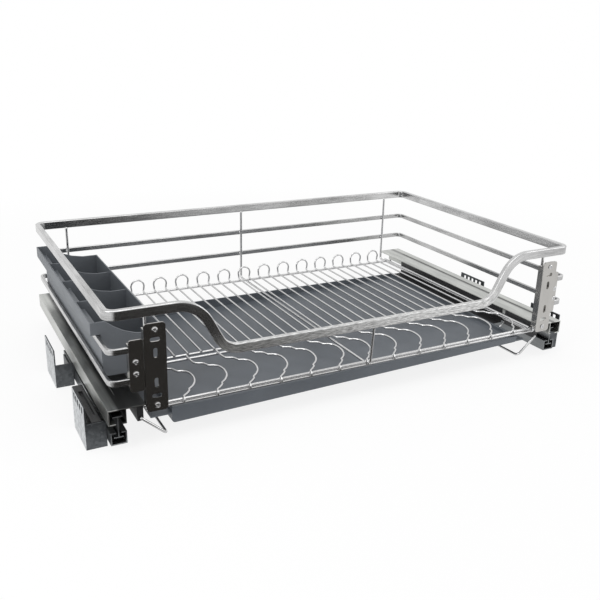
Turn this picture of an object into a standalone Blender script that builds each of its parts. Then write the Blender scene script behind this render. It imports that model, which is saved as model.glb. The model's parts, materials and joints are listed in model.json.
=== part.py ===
# A pull-out wire basket for a kitchen base cabinet, for plates, bowls, pots and cutlery.
# Metres, +Z up, +X to the right, and -Y towards the person who pulls it out.
# The origin is on the cabinet's floor, under the middle of the basket.

import math

import bmesh
import bpy
from mathutils import Matrix, Vector

# Overall
CABINET_WIDTH = 0.764  # between the cabinet's two sides
RIM_TOP = 0.181  # cabinet floor to the top of the rim
SEAT_GAP = 0.0003  # between pieces that touch
WELD_DEPTH = 0.0008  # how far welded wires sink into each other
CUT_OVERRUN = 0.004  # how far a cutter reaches past what it cuts
MERGE_DISTANCE = 0.00001

# Rim: a flat bar on edge, bent into a loop that dips at the front
RIM_SIDE_GAP = 0.0253  # cabinet side to rim
RIM_DEPTH = 0.4476
RIM_HEIGHT = 0.0125
RIM_THICKNESS = 0.0073
RIM_CORNER_RADIUS = 0.0085
RIM_EDGE = 0.0015  # the chamfer along its edges
DIP_DROP = 0.0655
DIP_SIDE_GAP = 0.0812  # outer cradle wires to the middle of each slope
DIP_SLOPE_RUN = 0.0348  # how far a slope goes sideways
DIP_LOWER_RADIUS = 0.030
DIP_UPPER_RADIUS = 0.045

# Two lighter flat bars below the rim, round the back and the sides
RAIL_HEIGHT = 0.0076
RAIL_THICKNESS = 0.004
RAIL_EDGE = 0.0008
RAIL_INSET = 0.001  # rim face to rail face
RAIL_CORNER_RADIUS = 0.0065
UPPER_RAIL_DROP = 0.0508  # rim top to the middle of the bar
LOWER_RAIL_DROP = 0.0903

# Cradle: three round wires down the back, under the racks and up the front, and a tie wire
CRADLE_SIDE_GAP = 0.0735  # cabinet side to the outer wires
CRADLE_RADIUS = 0.002
CRADLE_BEND_RADIUS = 0.005
CRADLE_SINK = 0.0133  # slide top down to the middle of the wires

# Slides: a fixed channel, a middle bar and a moving channel with a wide top plate
SLIDE_SHEET = 0.0015
FIXED_LIFT = 0.0085  # cabinet floor to the fixed channel
FIXED_HEIGHT = 0.0165
FIXED_WIDTH = 0.020
FIXED_MOUTH = 0.006  # the slot in its top
MEMBER_GAP = 0.0132  # fixed channel up to the moving channel
MOVING_HEIGHT = 0.020
MOVING_OUTER_REACH = 0.013  # from the middle bar's web to the channel's outer face
MOVING_INNER_REACH = 0.009
MOVING_MOUTH = 0.008
MIDDLE_WIDTH = 0.012
MEMBER_SETBACK = 0.006  # slide front to the two lower members
LOWER_MEMBER_LENGTH = 0.273
GROOVE_WIDTH = 0.004
GROOVE_DEPTH = 0.0008
GROOVE_OFFSET = 0.001  # inwards of the web
GROOVE_FRONT_INSET = 0.040
GROOVE_BACK_INSET = 0.040

# Roller cages between the members, placed to stay between them at full travel
CAGE_LENGTH = 0.064
CAGE_STRIP = 0.001
CAGE_ROLLERS = 3
UPPER_ROLLER_RADIUS = 0.005
LOWER_ROLLER_RADIUS = 0.0035
ROLLER_LENGTH = 0.009
CAGE_END = 0.008  # past its last roller
CAGE_START = 0.1105  # slide front to the cages

# Wall brackets, four folded sheets
BRACKET_SHEET = 0.002
BRACKET_WIDTH = 0.0257
BRACKET_LENGTH = 0.064
BRACKET_FACE_HEIGHT = 0.034  # its front wall
BRACKET_INNER_HEIGHT = 0.022
BRACKET_TOP_DROP = 0.0018  # slide top down to the bracket's
FRONT_BRACKET_START = 0.023  # slide front to the front bracket
REAR_BRACKET_START = 0.207
WINDOW_COUNT = 5
WINDOW_WIDTH = 0.0065
WINDOW_HEIGHT = 0.009
WINDOW_PITCH = 0.0105
WINDOW_DROP = 0.003  # the strip left above the windows
RIVET_RADIUS = 0.0022
RIVET_HEAD_RADIUS = 0.0038
RIVET_HEAD_HEIGHT = 0.0012

# Soft-close housings, which stand in the front brackets
CLOSER_LENGTH = 0.108
CLOSER_TOP = 0.034  # cabinet floor to its top
CLOSER_WIDTH = 0.0135
CLOSER_SIDE_GAP = 0.001  # to the moving channel
CLOSER_FRONT_GAP = 0.002  # to the bracket's front wall
CLOSER_EDGE = 0.0015
CATCH_SLOT_WIDTH = 0.005
CATCH_SLOT_DEPTH = 0.004
CATCH_SLOT_LENGTH = 0.070

# Plates that a cabinet front is screwed to; the same plate serves both sides
FRONT_PLATE_SHEET = 0.002
FRONT_PLATE_WIDTH = 0.0265
FRONT_PLATE_HEIGHT = 0.1127
FRONT_PLATE_DROP = 0.0206  # rim top to the plate's top
FRONT_PLATE_CORNER = 0.004
FRONT_PLATE_PROUD = 0.0015  # in front of the rim
FRONT_FLANGE_INSET = 0.007  # plate end to the flange's end
SLOT_LENGTH = 0.0125
SLOT_WIDTH = 0.0052
SCREW_RADIUS = 0.002
SCREW_HEAD_RADIUS = 0.0035
SCREW_HEAD_HEIGHT = 0.0016
SCREW_SPACE = 0.0003  # round a shank in its hole
SCREW_CROWN_SHARE = 0.6  # of the head's radius, its flat top
SCREW_RIM_SHARE = 0.33  # of the head's height, its upright edge
SCREW_PLACE_SHARE = 0.43  # of the plate's height, up and down from its middle
SIDEWAYS_SLOT_SHARE = 0.32
UPRIGHT_SLOT_SHARE = 0.17

# Plates that join the two rails to the front
RAIL_PLATE_SHEET = 0.002
RAIL_PLATE_HEIGHT = 0.0656
RAIL_PLATE_DROP = 0.0389
RAIL_PLATE_CORNER = 0.003
RAIL_PLATE_FLANGE = 0.010
RAIL_FLANGE_INSET = 0.006  # plate end to the flange's end
RAIL_PLATE_WIDTHS = {"left": 0.0176, "right": 0.026}
RAIL_SCREW_DROP = 0.0274  # plate top to its upper screw
RAIL_SCREW_PITCH = 0.0153
RAIL_SCREW_INSETS = {"left": 0.0077, "right": 0.0045}

# Racks of welded wire
RACK_RAIL_RADIUS = 0.002
RACK_WIRE_RADIUS = 0.0015
RACK_END_GAP = 0.0008  # rail ends to the slides
RACK_SIDE_INSET = 0.012  # rail end to the side wire
RACK_GAP = 0.0128  # plate rack's front rail to the bowl rack's back rail
WIRE_OVERHANG = 0.0035
PLATE_RACK_DEPTH = 0.2725
ARCH_COUNT = 14
ARCH_SIDE_SPACE = 0.064  # between the outer cradle wires, left without arches
ARCH_SHIFT = 0.0135  # to the right of the middle
ARCH_HEIGHT = 0.0235  # flat wires to the top of the arches, between middles
ARCH_FOOT_RADIUS = 0.003
PLAIN_WIRE_COUNT = 2  # under the cutlery box
BOWL_RACK_DEPTH = 0.1105
BOWL_WIRE_COUNT = 13
BOWL_SIDE_SPACE = 0.0385  # between the outer cradle wires, left without bowl wires
BOWL_WIRE_SHIFT = 0.0043
BOWL_BULGE = 0.0305
# Each bowl wire from back to front: sideways as shares of its bulge, forwards as shares of the depth
BOWL_WIRE_SHARES = (
    (0.0, 0.04),
    (0.02, 0.15),
    (0.1, 0.21),
    (0.39, 0.25),
    (0.46, 0.29),
    (0.56, 0.34),
    (0.75, 0.36),
    (0.92, 0.41),
    (1.0, 0.5),
    (0.98, 0.6),
    (0.87, 0.7),
    (0.66, 0.79),
    (0.43, 0.85),
    (0.39, 0.89),
    (0.23, 0.94),
    (0.03, 0.99),
)

# Drip tray, and the angles that it slides in on
TRAY_WALL = 0.002
TRAY_FRONT_INSET = 0.009  # rim front to the tray
TRAY_LENGTH = 0.348
TRAY_LEFT_GAP = 0.0295  # outer cradle wire to the tray
TRAY_RIGHT_GAP = 0.0305
TRAY_LEFT_FLANGE = 0.027
TRAY_RIGHT_FLANGE = 0.015
TRAY_TOP_GAP = 0.001  # to the cradle above it
TRAY_LEFT_DEPTH = 0.021
TRAY_RIGHT_DEPTH = 0.009
TRAY_CORNER = 0.004
RUNNER_SHEET = 0.0015
RUNNER_DROP = 0.025  # slide top to the ledge
RUNNER_LEDGE = 0.0293
RUNNER_OFFSET = 0.0015  # top plate's edge to the angle
RUNNER_START = 0.0845  # slide front to the angle
RUNNER_LENGTH = 0.290

# Cutlery box, which hangs on the upper rail
BOX_WALL = 0.002
BOX_WIDTH = 0.081
BOX_LENGTH = 0.358
BOX_START = 0.051  # slide front to the box
BOX_FLOOR_GAP = 0.0256  # rack wires up to the box
BOX_LIP_RISE = 0.0164  # rail top to the lip
BOX_RAIL_GAP = 0.0018  # rail to the box's wall
BOX_FAR_DROP = 0.023  # lip down to the far wall's top
BOX_CORNER = 0.008
BOX_SCOOP_START = 0.006  # how wide the lip is before the scoop
BOX_SCOOP_WIDTH = 0.052
SKIRT_REACH = 0.006  # rail face to the skirt's outer face
COMPARTMENT_COUNT = 4
DIVIDER_SHEET = 0.0018
DIVIDER_DROP = 0.003
SCOOP_SHARES = ((0.2, 0.36), (0.42, 0.66), (0.68, 0.87), (1.0, 1.0))

# Release bails, and the lock housings that they turn in
BAIL_RADIUS = 0.0015
BAIL_REACH = 0.0426
BAIL_SLANT = math.radians(41.5)
BAIL_WIDTH = 0.070
BAIL_TIP_RADIUS = 0.005
BAIL_PIVOT_RADIUS = 0.0018
BAIL_PIVOT_LENGTH = 0.006
BAIL_START = 0.0085  # slide front to the front leg
LOCK_WIDTH = 0.008
LOCK_HEIGHT = 0.0245
LOCK_OFFSET = 0.0008  # top plate's edge to the housing
LOCK_PIVOT_RISE = 0.0045  # housing bottom to the pivot
LOCK_EDGE = 0.001

# How finely round shapes are divided
FILLET_SHARE = 0.499  # the most of an edge that one rounded corner may take
CORNER_STEPS = 3
BEND_STEPS = 4
ARCH_STEPS = 5
ROUND_SIDES = 12
HOLE_SIDES = 16
SMOOTH_ANGLE = math.radians(40)
FLAT_ANGLE = math.radians(0.01)  # faces that meet at less than this become one

# Colour, roughness and metallic value
STEEL = ((0.58, 0.57, 0.55), 0.28, 1.0)
PLATE_STEEL = ((0.46, 0.45, 0.43), 0.20, 1.0)
ZINC = ((0.62, 0.64, 0.65), 0.45, 1.0)
SLIDE_STEEL = ((0.45, 0.46, 0.45), 0.40, 1.0)
CHROME = ((0.80, 0.80, 0.80), 0.10, 1.0)
SLATE = ((0.11, 0.12, 0.14), 0.50, 0.0)
BLACK_PLASTIC = ((0.03, 0.03, 0.03), 0.50, 0.0)

SIDES = {"left": -1, "right": 1}

# Places worked out from the sizes above
HALF_CABINET = CABINET_WIDTH / 2
RIM_HALF_WIDTH = HALF_CABINET - RIM_SIDE_GAP
RIM_HALF_DEPTH = RIM_DEPTH / 2
RIM_BOTTOM = RIM_TOP - RIM_HEIGHT
SLIDE_TOP = FIXED_LIFT + FIXED_HEIGHT + MEMBER_GAP + MOVING_HEIGHT
PLATE_FACE = -RIM_HALF_DEPTH - FRONT_PLATE_PROUD
PLATE_BACK = PLATE_FACE + FRONT_PLATE_SHEET
SLIDE_FRONT = PLATE_BACK + SEAT_GAP
SLIDE_REAR = -PLATE_FACE + SCREW_HEAD_HEIGHT  # as far back as the screw heads are forward
LOWER_FRONT = SLIDE_FRONT + MEMBER_SETBACK
RAIL_HALF_WIDTH = RIM_HALF_WIDTH - RAIL_INSET
RAIL_HALF_DEPTH = RIM_HALF_DEPTH - RAIL_INSET
CRADLE_Y = RAIL_HALF_DEPTH - RAIL_THICKNESS - SEAT_GAP - CRADLE_RADIUS
CRADLE_Z = SLIDE_TOP - CRADLE_SINK
CRADLE_SPREAD = HALF_CABINET - CRADLE_SIDE_GAP
DIP_HALF_WIDTH = CRADLE_SPREAD - DIP_SIDE_GAP
TRAY_LEFT = CRADLE_SPREAD - TRAY_LEFT_GAP
TRAY_RIGHT = CRADLE_SPREAD - TRAY_RIGHT_GAP
ARCH_PITCH = (2 * CRADLE_SPREAD - ARCH_SIDE_SPACE) / ARCH_COUNT
BOWL_WIRE_PITCH = (2 * CRADLE_SPREAD - BOWL_SIDE_SPACE) / BOWL_WIRE_COUNT
TOP_PLATE_EDGE = CRADLE_SPREAD + CRADLE_RADIUS + FRONT_PLATE_SHEET + 2 * SEAT_GAP
WEB_X = HALF_CABINET - BRACKET_WIDTH - SEAT_GAP - FIXED_WIDTH / 2
RACK_RAIL_Z = CRADLE_Z + CRADLE_RADIUS + SEAT_GAP + RACK_RAIL_RADIUS
RACK_WIRE_Z = RACK_RAIL_Z + RACK_RAIL_RADIUS + RACK_WIRE_RADIUS - WELD_DEPTH
BOWL_FRONT_Y = -CRADLE_Y + CRADLE_BEND_RADIUS
BOWL_BACK_Y = BOWL_FRONT_Y + BOWL_RACK_DEPTH
PLATE_RACK_FRONT_Y = BOWL_BACK_Y + RACK_GAP
PLATE_RACK_BACK_Y = PLATE_RACK_FRONT_Y + PLATE_RACK_DEPTH
RUNNER_LEDGE_Z = SLIDE_TOP - RUNNER_DROP
PIVOT_X = TOP_PLATE_EDGE + LOCK_OFFSET + LOCK_WIDTH / 2
PIVOT_Z = SLIDE_TOP - SLIDE_SHEET - SEAT_GAP - LOCK_HEIGHT + LOCK_PIVOT_RISE


def clear_scene():
    for thing in list(bpy.data.objects):
        bpy.data.objects.remove(thing, do_unlink=True)


def new_collection(name):
    collection = bpy.data.collections.new(name)
    bpy.context.scene.collection.children.link(collection)
    return collection


clear_scene()
PARTS = new_collection("pull_out_basket")
CUTTERS = new_collection("cutters")


def closed_mesh(thing):
    """The object's shape as one welded mesh whose faces point out."""
    depsgraph = bpy.context.evaluated_depsgraph_get()
    mesh = bpy.data.meshes.new_from_object(thing.evaluated_get(depsgraph), depsgraph=depsgraph)
    shape = bmesh.new()
    shape.from_mesh(mesh)
    bmesh.ops.remove_doubles(shape, verts=shape.verts, dist=MERGE_DISTANCE)
    bmesh.ops.dissolve_limit(shape, angle_limit=FLAT_ANGLE, verts=shape.verts, edges=shape.edges)
    bmesh.ops.recalc_face_normals(shape, faces=shape.faces)
    shape.to_mesh(mesh)
    shape.free()
    return mesh


def mesh_object(name, mesh, matrix=None):
    thing = bpy.data.objects.new(name, mesh)
    PARTS.objects.link(thing)
    if matrix is not None:
        thing.matrix_world = matrix
    return thing


def curve_to_mesh(curve_object):
    """A mesh object in the place of a curve, which is removed."""
    mesh = closed_mesh(curve_object)
    name = curve_object.name
    matrix = curve_object.matrix_world.copy()
    curve = curve_object.data
    bpy.data.objects.remove(curve_object)
    bpy.data.curves.remove(curve)
    return mesh_object(name, mesh, matrix)


def add_spline(curve, points, closed):
    spline = curve.splines.new("POLY")
    spline.points.add(len(points) - 1)
    for control, point in zip(spline.points, points):
        control.co = (*point, 1)
    spline.use_cyclic_u = closed


def rounded(corners, radii, steps, closed):
    """The corners joined by arcs of one radius or one each, or as large as fits between them."""
    corners = [Vector(corner) for corner in corners]
    if isinstance(radii, float):
        radii = [radii] * len(corners)
    points = []
    for index, corner in enumerate(corners):
        if not closed and index in (0, len(corners) - 1):
            points.append(corner)
            continue
        back = corners[index - 1] - corner
        ahead = corners[(index + 1) % len(corners)] - corner
        half_angle = back.angle(ahead) / 2
        most = min(back.length, ahead.length) * FILLET_SHARE
        tangent = min(radii[index] / math.tan(half_angle), most)
        arc_radius = tangent * math.tan(half_angle)
        inwards = (back.normalized() + ahead.normalized()).normalized()
        centre = corner + inwards * (arc_radius / math.sin(half_angle))
        first = corner + back.normalized() * tangent - centre
        last = corner + ahead.normalized() * tangent - centre
        for step in range(steps + 1):
            points.append(centre + first.slerp(last, step / steps).normalized() * arc_radius)
    return points


def wire(name, points, radius, resolution=2):
    curve = bpy.data.curves.new(name, "CURVE")
    curve.dimensions = "3D"
    curve.bevel_depth = radius
    curve.bevel_resolution = resolution
    curve.use_fill_caps = True
    add_spline(curve, points, False)
    thing = bpy.data.objects.new(name, curve)
    PARTS.objects.link(thing)
    return curve_to_mesh(thing)


def flat_bar(name, points, height, thickness, edge, closed):
    """A bar on edge, its rectangular section carried along the points."""
    u = thickness / 2
    v = height / 2
    corners = [(-u, -v, 0), (u, -v, 0), (u, v, 0), (-u, v, 0)]
    section = bpy.data.curves.new(name + "_section", "CURVE")
    section.dimensions = "2D"
    add_spline(section, rounded(corners, edge, 1, True), True)
    section_object = bpy.data.objects.new(name + "_section", section)
    CUTTERS.objects.link(section_object)
    curve = bpy.data.curves.new(name, "CURVE")
    curve.dimensions = "3D"
    curve.bevel_mode = "OBJECT"
    curve.bevel_object = section_object
    curve.twist_mode = "Z_UP"
    curve.use_fill_caps = True
    add_spline(curve, points, closed)
    thing = bpy.data.objects.new(name, curve)
    PARTS.objects.link(thing)
    bar = curve_to_mesh(thing)
    bpy.data.objects.remove(section_object)
    bpy.data.curves.remove(section)
    return bar


# How an outline's two directions and its thickness lie in the world
OUTLINE_TURNS = {
    "X": Matrix(((0, 0, 1), (1, 0, 0), (0, 1, 0))),
    "Y": Matrix(((1, 0, 0), (0, 0, -1), (0, 1, 0))),
    "Z": Matrix.Identity(3),
}


def slab(name, along, ends, outline, holes=()):
    """A flat outline made as thick as the distance between two ends along one axis."""
    curve = bpy.data.curves.new(name, "CURVE")
    curve.dimensions = "2D"
    curve.fill_mode = "BOTH"
    curve.extrude = abs(ends[1] - ends[0]) / 2
    for loop in (outline, *holes):
        add_spline(curve, [(*point[:2], 0) for point in loop], True)
    thing = bpy.data.objects.new(name, curve)
    PARTS.objects.link(thing)
    centre = Vector()
    centre["XYZ".index(along)] = (ends[0] + ends[1]) / 2
    thing.matrix_world = Matrix.Translation(centre) @ OUTLINE_TURNS[along].to_4x4()
    return curve_to_mesh(thing)


def block(name, x_ends, y_ends, z_ends):
    mesh = bpy.data.meshes.new(name)
    shape = bmesh.new()
    bmesh.ops.create_cube(shape, size=1)
    sizes = [abs(ends[1] - ends[0]) for ends in (x_ends, y_ends, z_ends)]
    centre = [(ends[0] + ends[1]) / 2 for ends in (x_ends, y_ends, z_ends)]
    bmesh.ops.scale(shape, vec=sizes, verts=shape.verts)
    bmesh.ops.translate(shape, vec=centre, verts=shape.verts)
    shape.to_mesh(mesh)
    shape.free()
    return mesh_object(name, mesh)


def cylinder(name, centre, axis, radius, length, sides):
    mesh = bpy.data.meshes.new(name)
    shape = bmesh.new()
    bmesh.ops.create_cone(
        shape, cap_ends=True, segments=sides, radius1=radius, radius2=radius, depth=length
    )
    turn = Vector((0, 0, 1)).rotation_difference(Vector(axis)).to_matrix().to_4x4()
    bmesh.ops.transform(shape, matrix=Matrix.Translation(centre) @ turn, verts=shape.verts)
    shape.to_mesh(mesh)
    shape.free()
    return mesh_object(name, mesh)


def turned(name, profile, place, axis):
    """A profile of radius and height, turned round an axis; it runs down its outer side."""
    mesh = bpy.data.meshes.new(name)
    mesh.from_pydata(
        [(radius, 0, height) for radius, height in profile],
        [(index, index + 1) for index in range(len(profile) - 1)],
        [],
    )
    thing = mesh_object(name, mesh)
    screw = thing.modifiers.new("turn", "SCREW")
    screw.steps = ROUND_SIDES
    screw.render_steps = ROUND_SIDES
    screw.use_merge_vertices = True
    screw.merge_threshold = MERGE_DISTANCE
    shape = closed_mesh(thing)
    bpy.data.objects.remove(thing)
    turn = Vector((0, 0, 1)).rotation_difference(Vector(axis)).to_matrix().to_4x4()
    shape.transform(Matrix.Translation(place) @ turn)
    return mesh_object(name, shape)


def boolean(target, others, operation):
    """Cuts the others from the target or joins them to it, and removes them."""
    group = new_collection("operands")
    for other in others:
        group.objects.link(other)
        PARTS.objects.unlink(other)
        other.hide_render = True
        other.display_type = "WIRE"
    modifier = target.modifiers.new("shape", "BOOLEAN")
    modifier.operation = operation
    modifier.solver = "EXACT"
    modifier.operand_type = "COLLECTION"
    modifier.collection = group
    mesh = closed_mesh(target)
    target.modifiers.clear()
    target.data = mesh
    for other in others:
        bpy.data.objects.remove(other)
    bpy.data.collections.remove(group)
    return target


def cut(target, *others):
    return boolean(target, others, "DIFFERENCE")


def join(target, *others):
    return boolean(target, others, "UNION")


def rectangle(u_ends, v_ends):
    return [
        (u_ends[0], v_ends[0], 0),
        (u_ends[1], v_ends[0], 0),
        (u_ends[1], v_ends[1], 0),
        (u_ends[0], v_ends[1], 0),
    ]


def rounded_rectangle(u_ends, v_ends, radius):
    return rounded(rectangle(u_ends, v_ends), radius, CORNER_STEPS, True)


def circle(u, v, radius):
    angles = [math.tau * index / HOLE_SIDES for index in range(HOLE_SIDES)]
    return [(u + radius * math.cos(angle), v + radius * math.sin(angle), 0) for angle in angles]


def around(middle, size):
    return (middle - size / 2, middle + size / 2)


def mirrored(outline, side):
    return [(side * point[0], point[1], 0) for point in outline]


def side_ends(side, near, far):
    """Two distances from the middle as X values, the lower one first."""
    return tuple(sorted((side * near, side * far)))


def evenly(count, low, high):
    """Places that split a stretch into equal bays, without its ends."""
    return [low + (high - low) * (index + 1) / (count + 1) for index in range(count)]


def finish(thing, look, parent, origin=(0, 0, 0)):
    """Gives a piece its material, its shading, its origin and the empty that carries it."""
    colour, roughness, metallic = look
    material = bpy.data.materials.new(thing.name)
    material.use_nodes = True
    shader = material.node_tree.nodes["Principled BSDF"]
    shader.inputs["Base Color"].default_value = (*colour, 1)
    shader.inputs["Roughness"].default_value = roughness
    shader.inputs["Metallic"].default_value = metallic
    material.diffuse_color = (*colour, 1)
    mesh = thing.data
    mesh.materials.clear()
    mesh.materials.append(material)
    mesh.transform(Matrix.Translation(-Vector(origin)) @ thing.matrix_world)
    thing.matrix_world = Matrix.Translation(origin)
    mesh.shade_smooth()
    mesh.set_sharp_from_angle(angle=SMOOTH_ANGLE)
    thing.parent = parent
    thing.location = Vector(origin) - Vector(parent["place"])
    return thing


def carrier(name, place=(0, 0, 0), parent=None):
    """An empty that stands for one moving assembly, on its joint's axis."""
    empty = bpy.data.objects.new(name, None)
    PARTS.objects.link(empty)
    empty.location = Vector(place)
    empty["place"] = Vector(place)
    if parent is not None:
        empty.parent = parent
        empty.location = Vector(place) - Vector(parent["place"])
    return empty


def add_rim(parent):
    middle_y = RIM_HALF_DEPTH - RIM_THICKNESS / 2
    middle_x = RIM_HALF_WIDTH - RIM_THICKNESS / 2
    high = RIM_TOP - RIM_HEIGHT / 2
    low = high - DIP_DROP
    upper_bend = DIP_HALF_WIDTH + DIP_SLOPE_RUN / 2
    lower_bend = DIP_HALF_WIDTH - DIP_SLOPE_RUN / 2
    dip = rounded(
        [
            (-middle_x, -middle_y, high),
            (-upper_bend, -middle_y, high),
            (-lower_bend, -middle_y, low),
            (lower_bend, -middle_y, low),
            (upper_bend, -middle_y, high),
            (middle_x, -middle_y, high),
        ],
        [0.0, DIP_UPPER_RADIUS, DIP_LOWER_RADIUS, DIP_LOWER_RADIUS, DIP_UPPER_RADIUS, 0.0],
        BEND_STEPS,
        False,
    )
    back = [
        (middle_x, -middle_y, high),
        (middle_x, middle_y, high),
        (-middle_x, middle_y, high),
        (-middle_x, -middle_y, high),
    ]
    corners = rounded(back, RIM_CORNER_RADIUS, BEND_STEPS, True)
    # The loop starts after the left front corner, runs through the dip and round the back
    path = dip[1:-1] + corners
    bar = flat_bar("rim", path, RIM_HEIGHT, RIM_THICKNESS, RIM_EDGE, True)
    finish(bar, STEEL, parent)


def add_side_rails(parent):
    middle_x = RAIL_HALF_WIDTH - RAIL_THICKNESS / 2
    middle_y = RAIL_HALF_DEPTH - RAIL_THICKNESS / 2
    left_end = -TOP_PLATE_EDGE - RAIL_PLATE_WIDTHS["left"] - SEAT_GAP
    right_end = TOP_PLATE_EDGE + RAIL_PLATE_WIDTHS["right"] + SEAT_GAP
    for name, drop in (("upper_side_rail", UPPER_RAIL_DROP), ("lower_side_rail", LOWER_RAIL_DROP)):
        height = RIM_TOP - drop
        corners = [
            (left_end, -middle_y, height),
            (-middle_x, -middle_y, height),
            (-middle_x, middle_y, height),
            (middle_x, middle_y, height),
            (middle_x, -middle_y, height),
            (right_end, -middle_y, height),
        ]
        path = rounded(corners, RAIL_CORNER_RADIUS, BEND_STEPS, False)
        rail = flat_bar(name, path, RAIL_HEIGHT, RAIL_THICKNESS, RAIL_EDGE, False)
        finish(rail, STEEL, parent)


def add_cradle(parent):
    top = RIM_BOTTOM - SEAT_GAP
    wires = []
    for name, x in (("left", -CRADLE_SPREAD), ("middle", 0), ("right", CRADLE_SPREAD)):
        front_top = top - DIP_DROP if x == 0 else top
        corners = [
            (x, -CRADLE_Y, front_top),
            (x, -CRADLE_Y, CRADLE_Z),
            (x, CRADLE_Y, CRADLE_Z),
            (x, CRADLE_Y, top),
        ]
        path = rounded(corners, CRADLE_BEND_RADIUS, BEND_STEPS, False)
        wires.append(wire("cradle_" + name, path, CRADLE_RADIUS))
    tie_path = [(-CRADLE_SPREAD, BOWL_FRONT_Y, CRADLE_Z), (CRADLE_SPREAD, BOWL_FRONT_Y, CRADLE_Z)]
    cradle = join(wire("cradle_frame", tie_path, CRADLE_RADIUS), *wires)
    finish(cradle, STEEL, parent)


def rack_frame(name, front, back):
    """The two long rails of a rack and its two side wires, not yet joined."""
    reach = TOP_PLATE_EDGE - RACK_END_GAP
    side_x = reach - RACK_SIDE_INSET
    side_z = RACK_RAIL_Z + 2 * RACK_RAIL_RADIUS - WELD_DEPTH
    rails = []
    for label, y in (("front", front), ("back", back)):
        ends = [(-reach, y, RACK_RAIL_Z), (reach, y, RACK_RAIL_Z)]
        rails.append(wire(name + "_" + label, ends, RACK_RAIL_RADIUS, 1))
    for label, side in SIDES.items():
        ends = [
            (side * side_x, front - WIRE_OVERHANG, side_z),
            (side * side_x, back + WIRE_OVERHANG, side_z),
        ]
        rails.append(wire(name + "_" + label, ends, RACK_RAIL_RADIUS, 1))
    return rails


def add_plate_rack(parent):
    front = PLATE_RACK_FRONT_Y
    back = PLATE_RACK_BACK_Y
    rails = rack_frame("plate_rack", front, back)
    wires = []
    half = ARCH_PITCH / 4
    arch_y = back + RACK_WIRE_RADIUS + ARCH_FOOT_RADIUS
    spring_z = RACK_WIRE_Z + ARCH_HEIGHT - half
    for index in range(ARCH_COUNT):
        middle = ARCH_SHIFT + (index - (ARCH_COUNT - 1) / 2) * ARCH_PITCH
        leg = rounded(
            [
                (middle - half, front - WIRE_OVERHANG, RACK_WIRE_Z),
                (middle - half, arch_y, RACK_WIRE_Z),
                (middle - half, arch_y, spring_z),
            ],
            ARCH_FOOT_RADIUS,
            2,
            False,
        )
        angles = [math.pi * (1 - step / (2 * ARCH_STEPS)) for step in range(1, 2 * ARCH_STEPS)]
        top = [
            Vector((middle + half * math.cos(angle), arch_y, spring_z + half * math.sin(angle)))
            for angle in angles
        ]
        other_leg = [Vector((2 * middle - point.x, point.y, point.z)) for point in reversed(leg)]
        wires.append(wire("arch", leg + top + other_leg, RACK_WIRE_RADIUS, 1))
    first = ARCH_SHIFT - (ARCH_COUNT - 1) / 2 * ARCH_PITCH - half
    for index in range(PLAIN_WIRE_COUNT):
        x = first - (index + 1) * ARCH_PITCH / 2
        ends = [(x, front - WIRE_OVERHANG, RACK_WIRE_Z), (x, back + WIRE_OVERHANG, RACK_WIRE_Z)]
        wires.append(wire("plain_wire", ends, RACK_WIRE_RADIUS, 1))
    rack = join(rails[0], *rails[1:], *wires)
    rack.name = "plate_rack"
    finish(rack, CHROME, parent)


def add_bowl_rack(parent):
    rails = rack_frame("bowl_rack", BOWL_FRONT_Y, BOWL_BACK_Y)
    wires = []
    for index in range(BOWL_WIRE_COUNT):
        x = BOWL_WIRE_SHIFT + (index - (BOWL_WIRE_COUNT - 1) / 2) * BOWL_WIRE_PITCH
        path = [(x, BOWL_BACK_Y + WIRE_OVERHANG, RACK_WIRE_Z)]
        for sideways_share, forward_share in BOWL_WIRE_SHARES:
            y = BOWL_BACK_Y - forward_share * BOWL_RACK_DEPTH
            path.append((x + sideways_share * BOWL_BULGE, y, RACK_WIRE_Z))
        path.append((x, BOWL_FRONT_Y - WIRE_OVERHANG, RACK_WIRE_Z))
        wires.append(wire("bowl_wire", path, RACK_WIRE_RADIUS, 1))
    rack = join(rails[0], *rails[1:], *wires)
    rack.name = "bowl_rack"
    finish(rack, CHROME, parent)


def add_drip_tray(parent):
    front = -RIM_HALF_DEPTH + TRAY_FRONT_INSET
    ends = (front, front + TRAY_LENGTH)
    top = CRADLE_Z - CRADLE_RADIUS - TRAY_TOP_GAP
    left_bottom = top - TRAY_LEFT_DEPTH
    right_bottom = top - TRAY_RIGHT_DEPTH
    outside = rounded(
        [
            (-TRAY_LEFT, top, 0),
            (-TRAY_LEFT, left_bottom, 0),
            (TRAY_RIGHT, right_bottom, 0),
            (TRAY_RIGHT, top, 0),
        ],
        TRAY_CORNER,
        CORNER_STEPS,
        False,
    )
    over = top + CUT_OVERRUN
    inside = rounded(
        [
            (-TRAY_LEFT + TRAY_WALL, over, 0),
            (-TRAY_LEFT + TRAY_WALL, left_bottom + TRAY_WALL, 0),
            (TRAY_RIGHT - TRAY_WALL, right_bottom + TRAY_WALL, 0),
            (TRAY_RIGHT - TRAY_WALL, over, 0),
        ],
        TRAY_CORNER - TRAY_WALL,
        CORNER_STEPS,
        False,
    )
    flange_bottom = RUNNER_LEDGE_Z + SEAT_GAP
    flange = (flange_bottom, flange_bottom + TRAY_WALL)
    tray = slab("drip_tray", "Y", ends, outside)
    left_ends = (-TRAY_LEFT - TRAY_LEFT_FLANGE, -TRAY_LEFT + TRAY_WALL / 2)
    right_ends = (TRAY_RIGHT - TRAY_WALL / 2, TRAY_RIGHT + TRAY_RIGHT_FLANGE)
    left = block("left", left_ends, ends, flange)
    right = block("right", right_ends, ends, flange)
    join(tray, left, right)
    cut(tray, slab("hollow", "Y", (ends[0] + TRAY_WALL, ends[1] - TRAY_WALL), inside))
    finish(tray, SLATE, parent)


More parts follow.
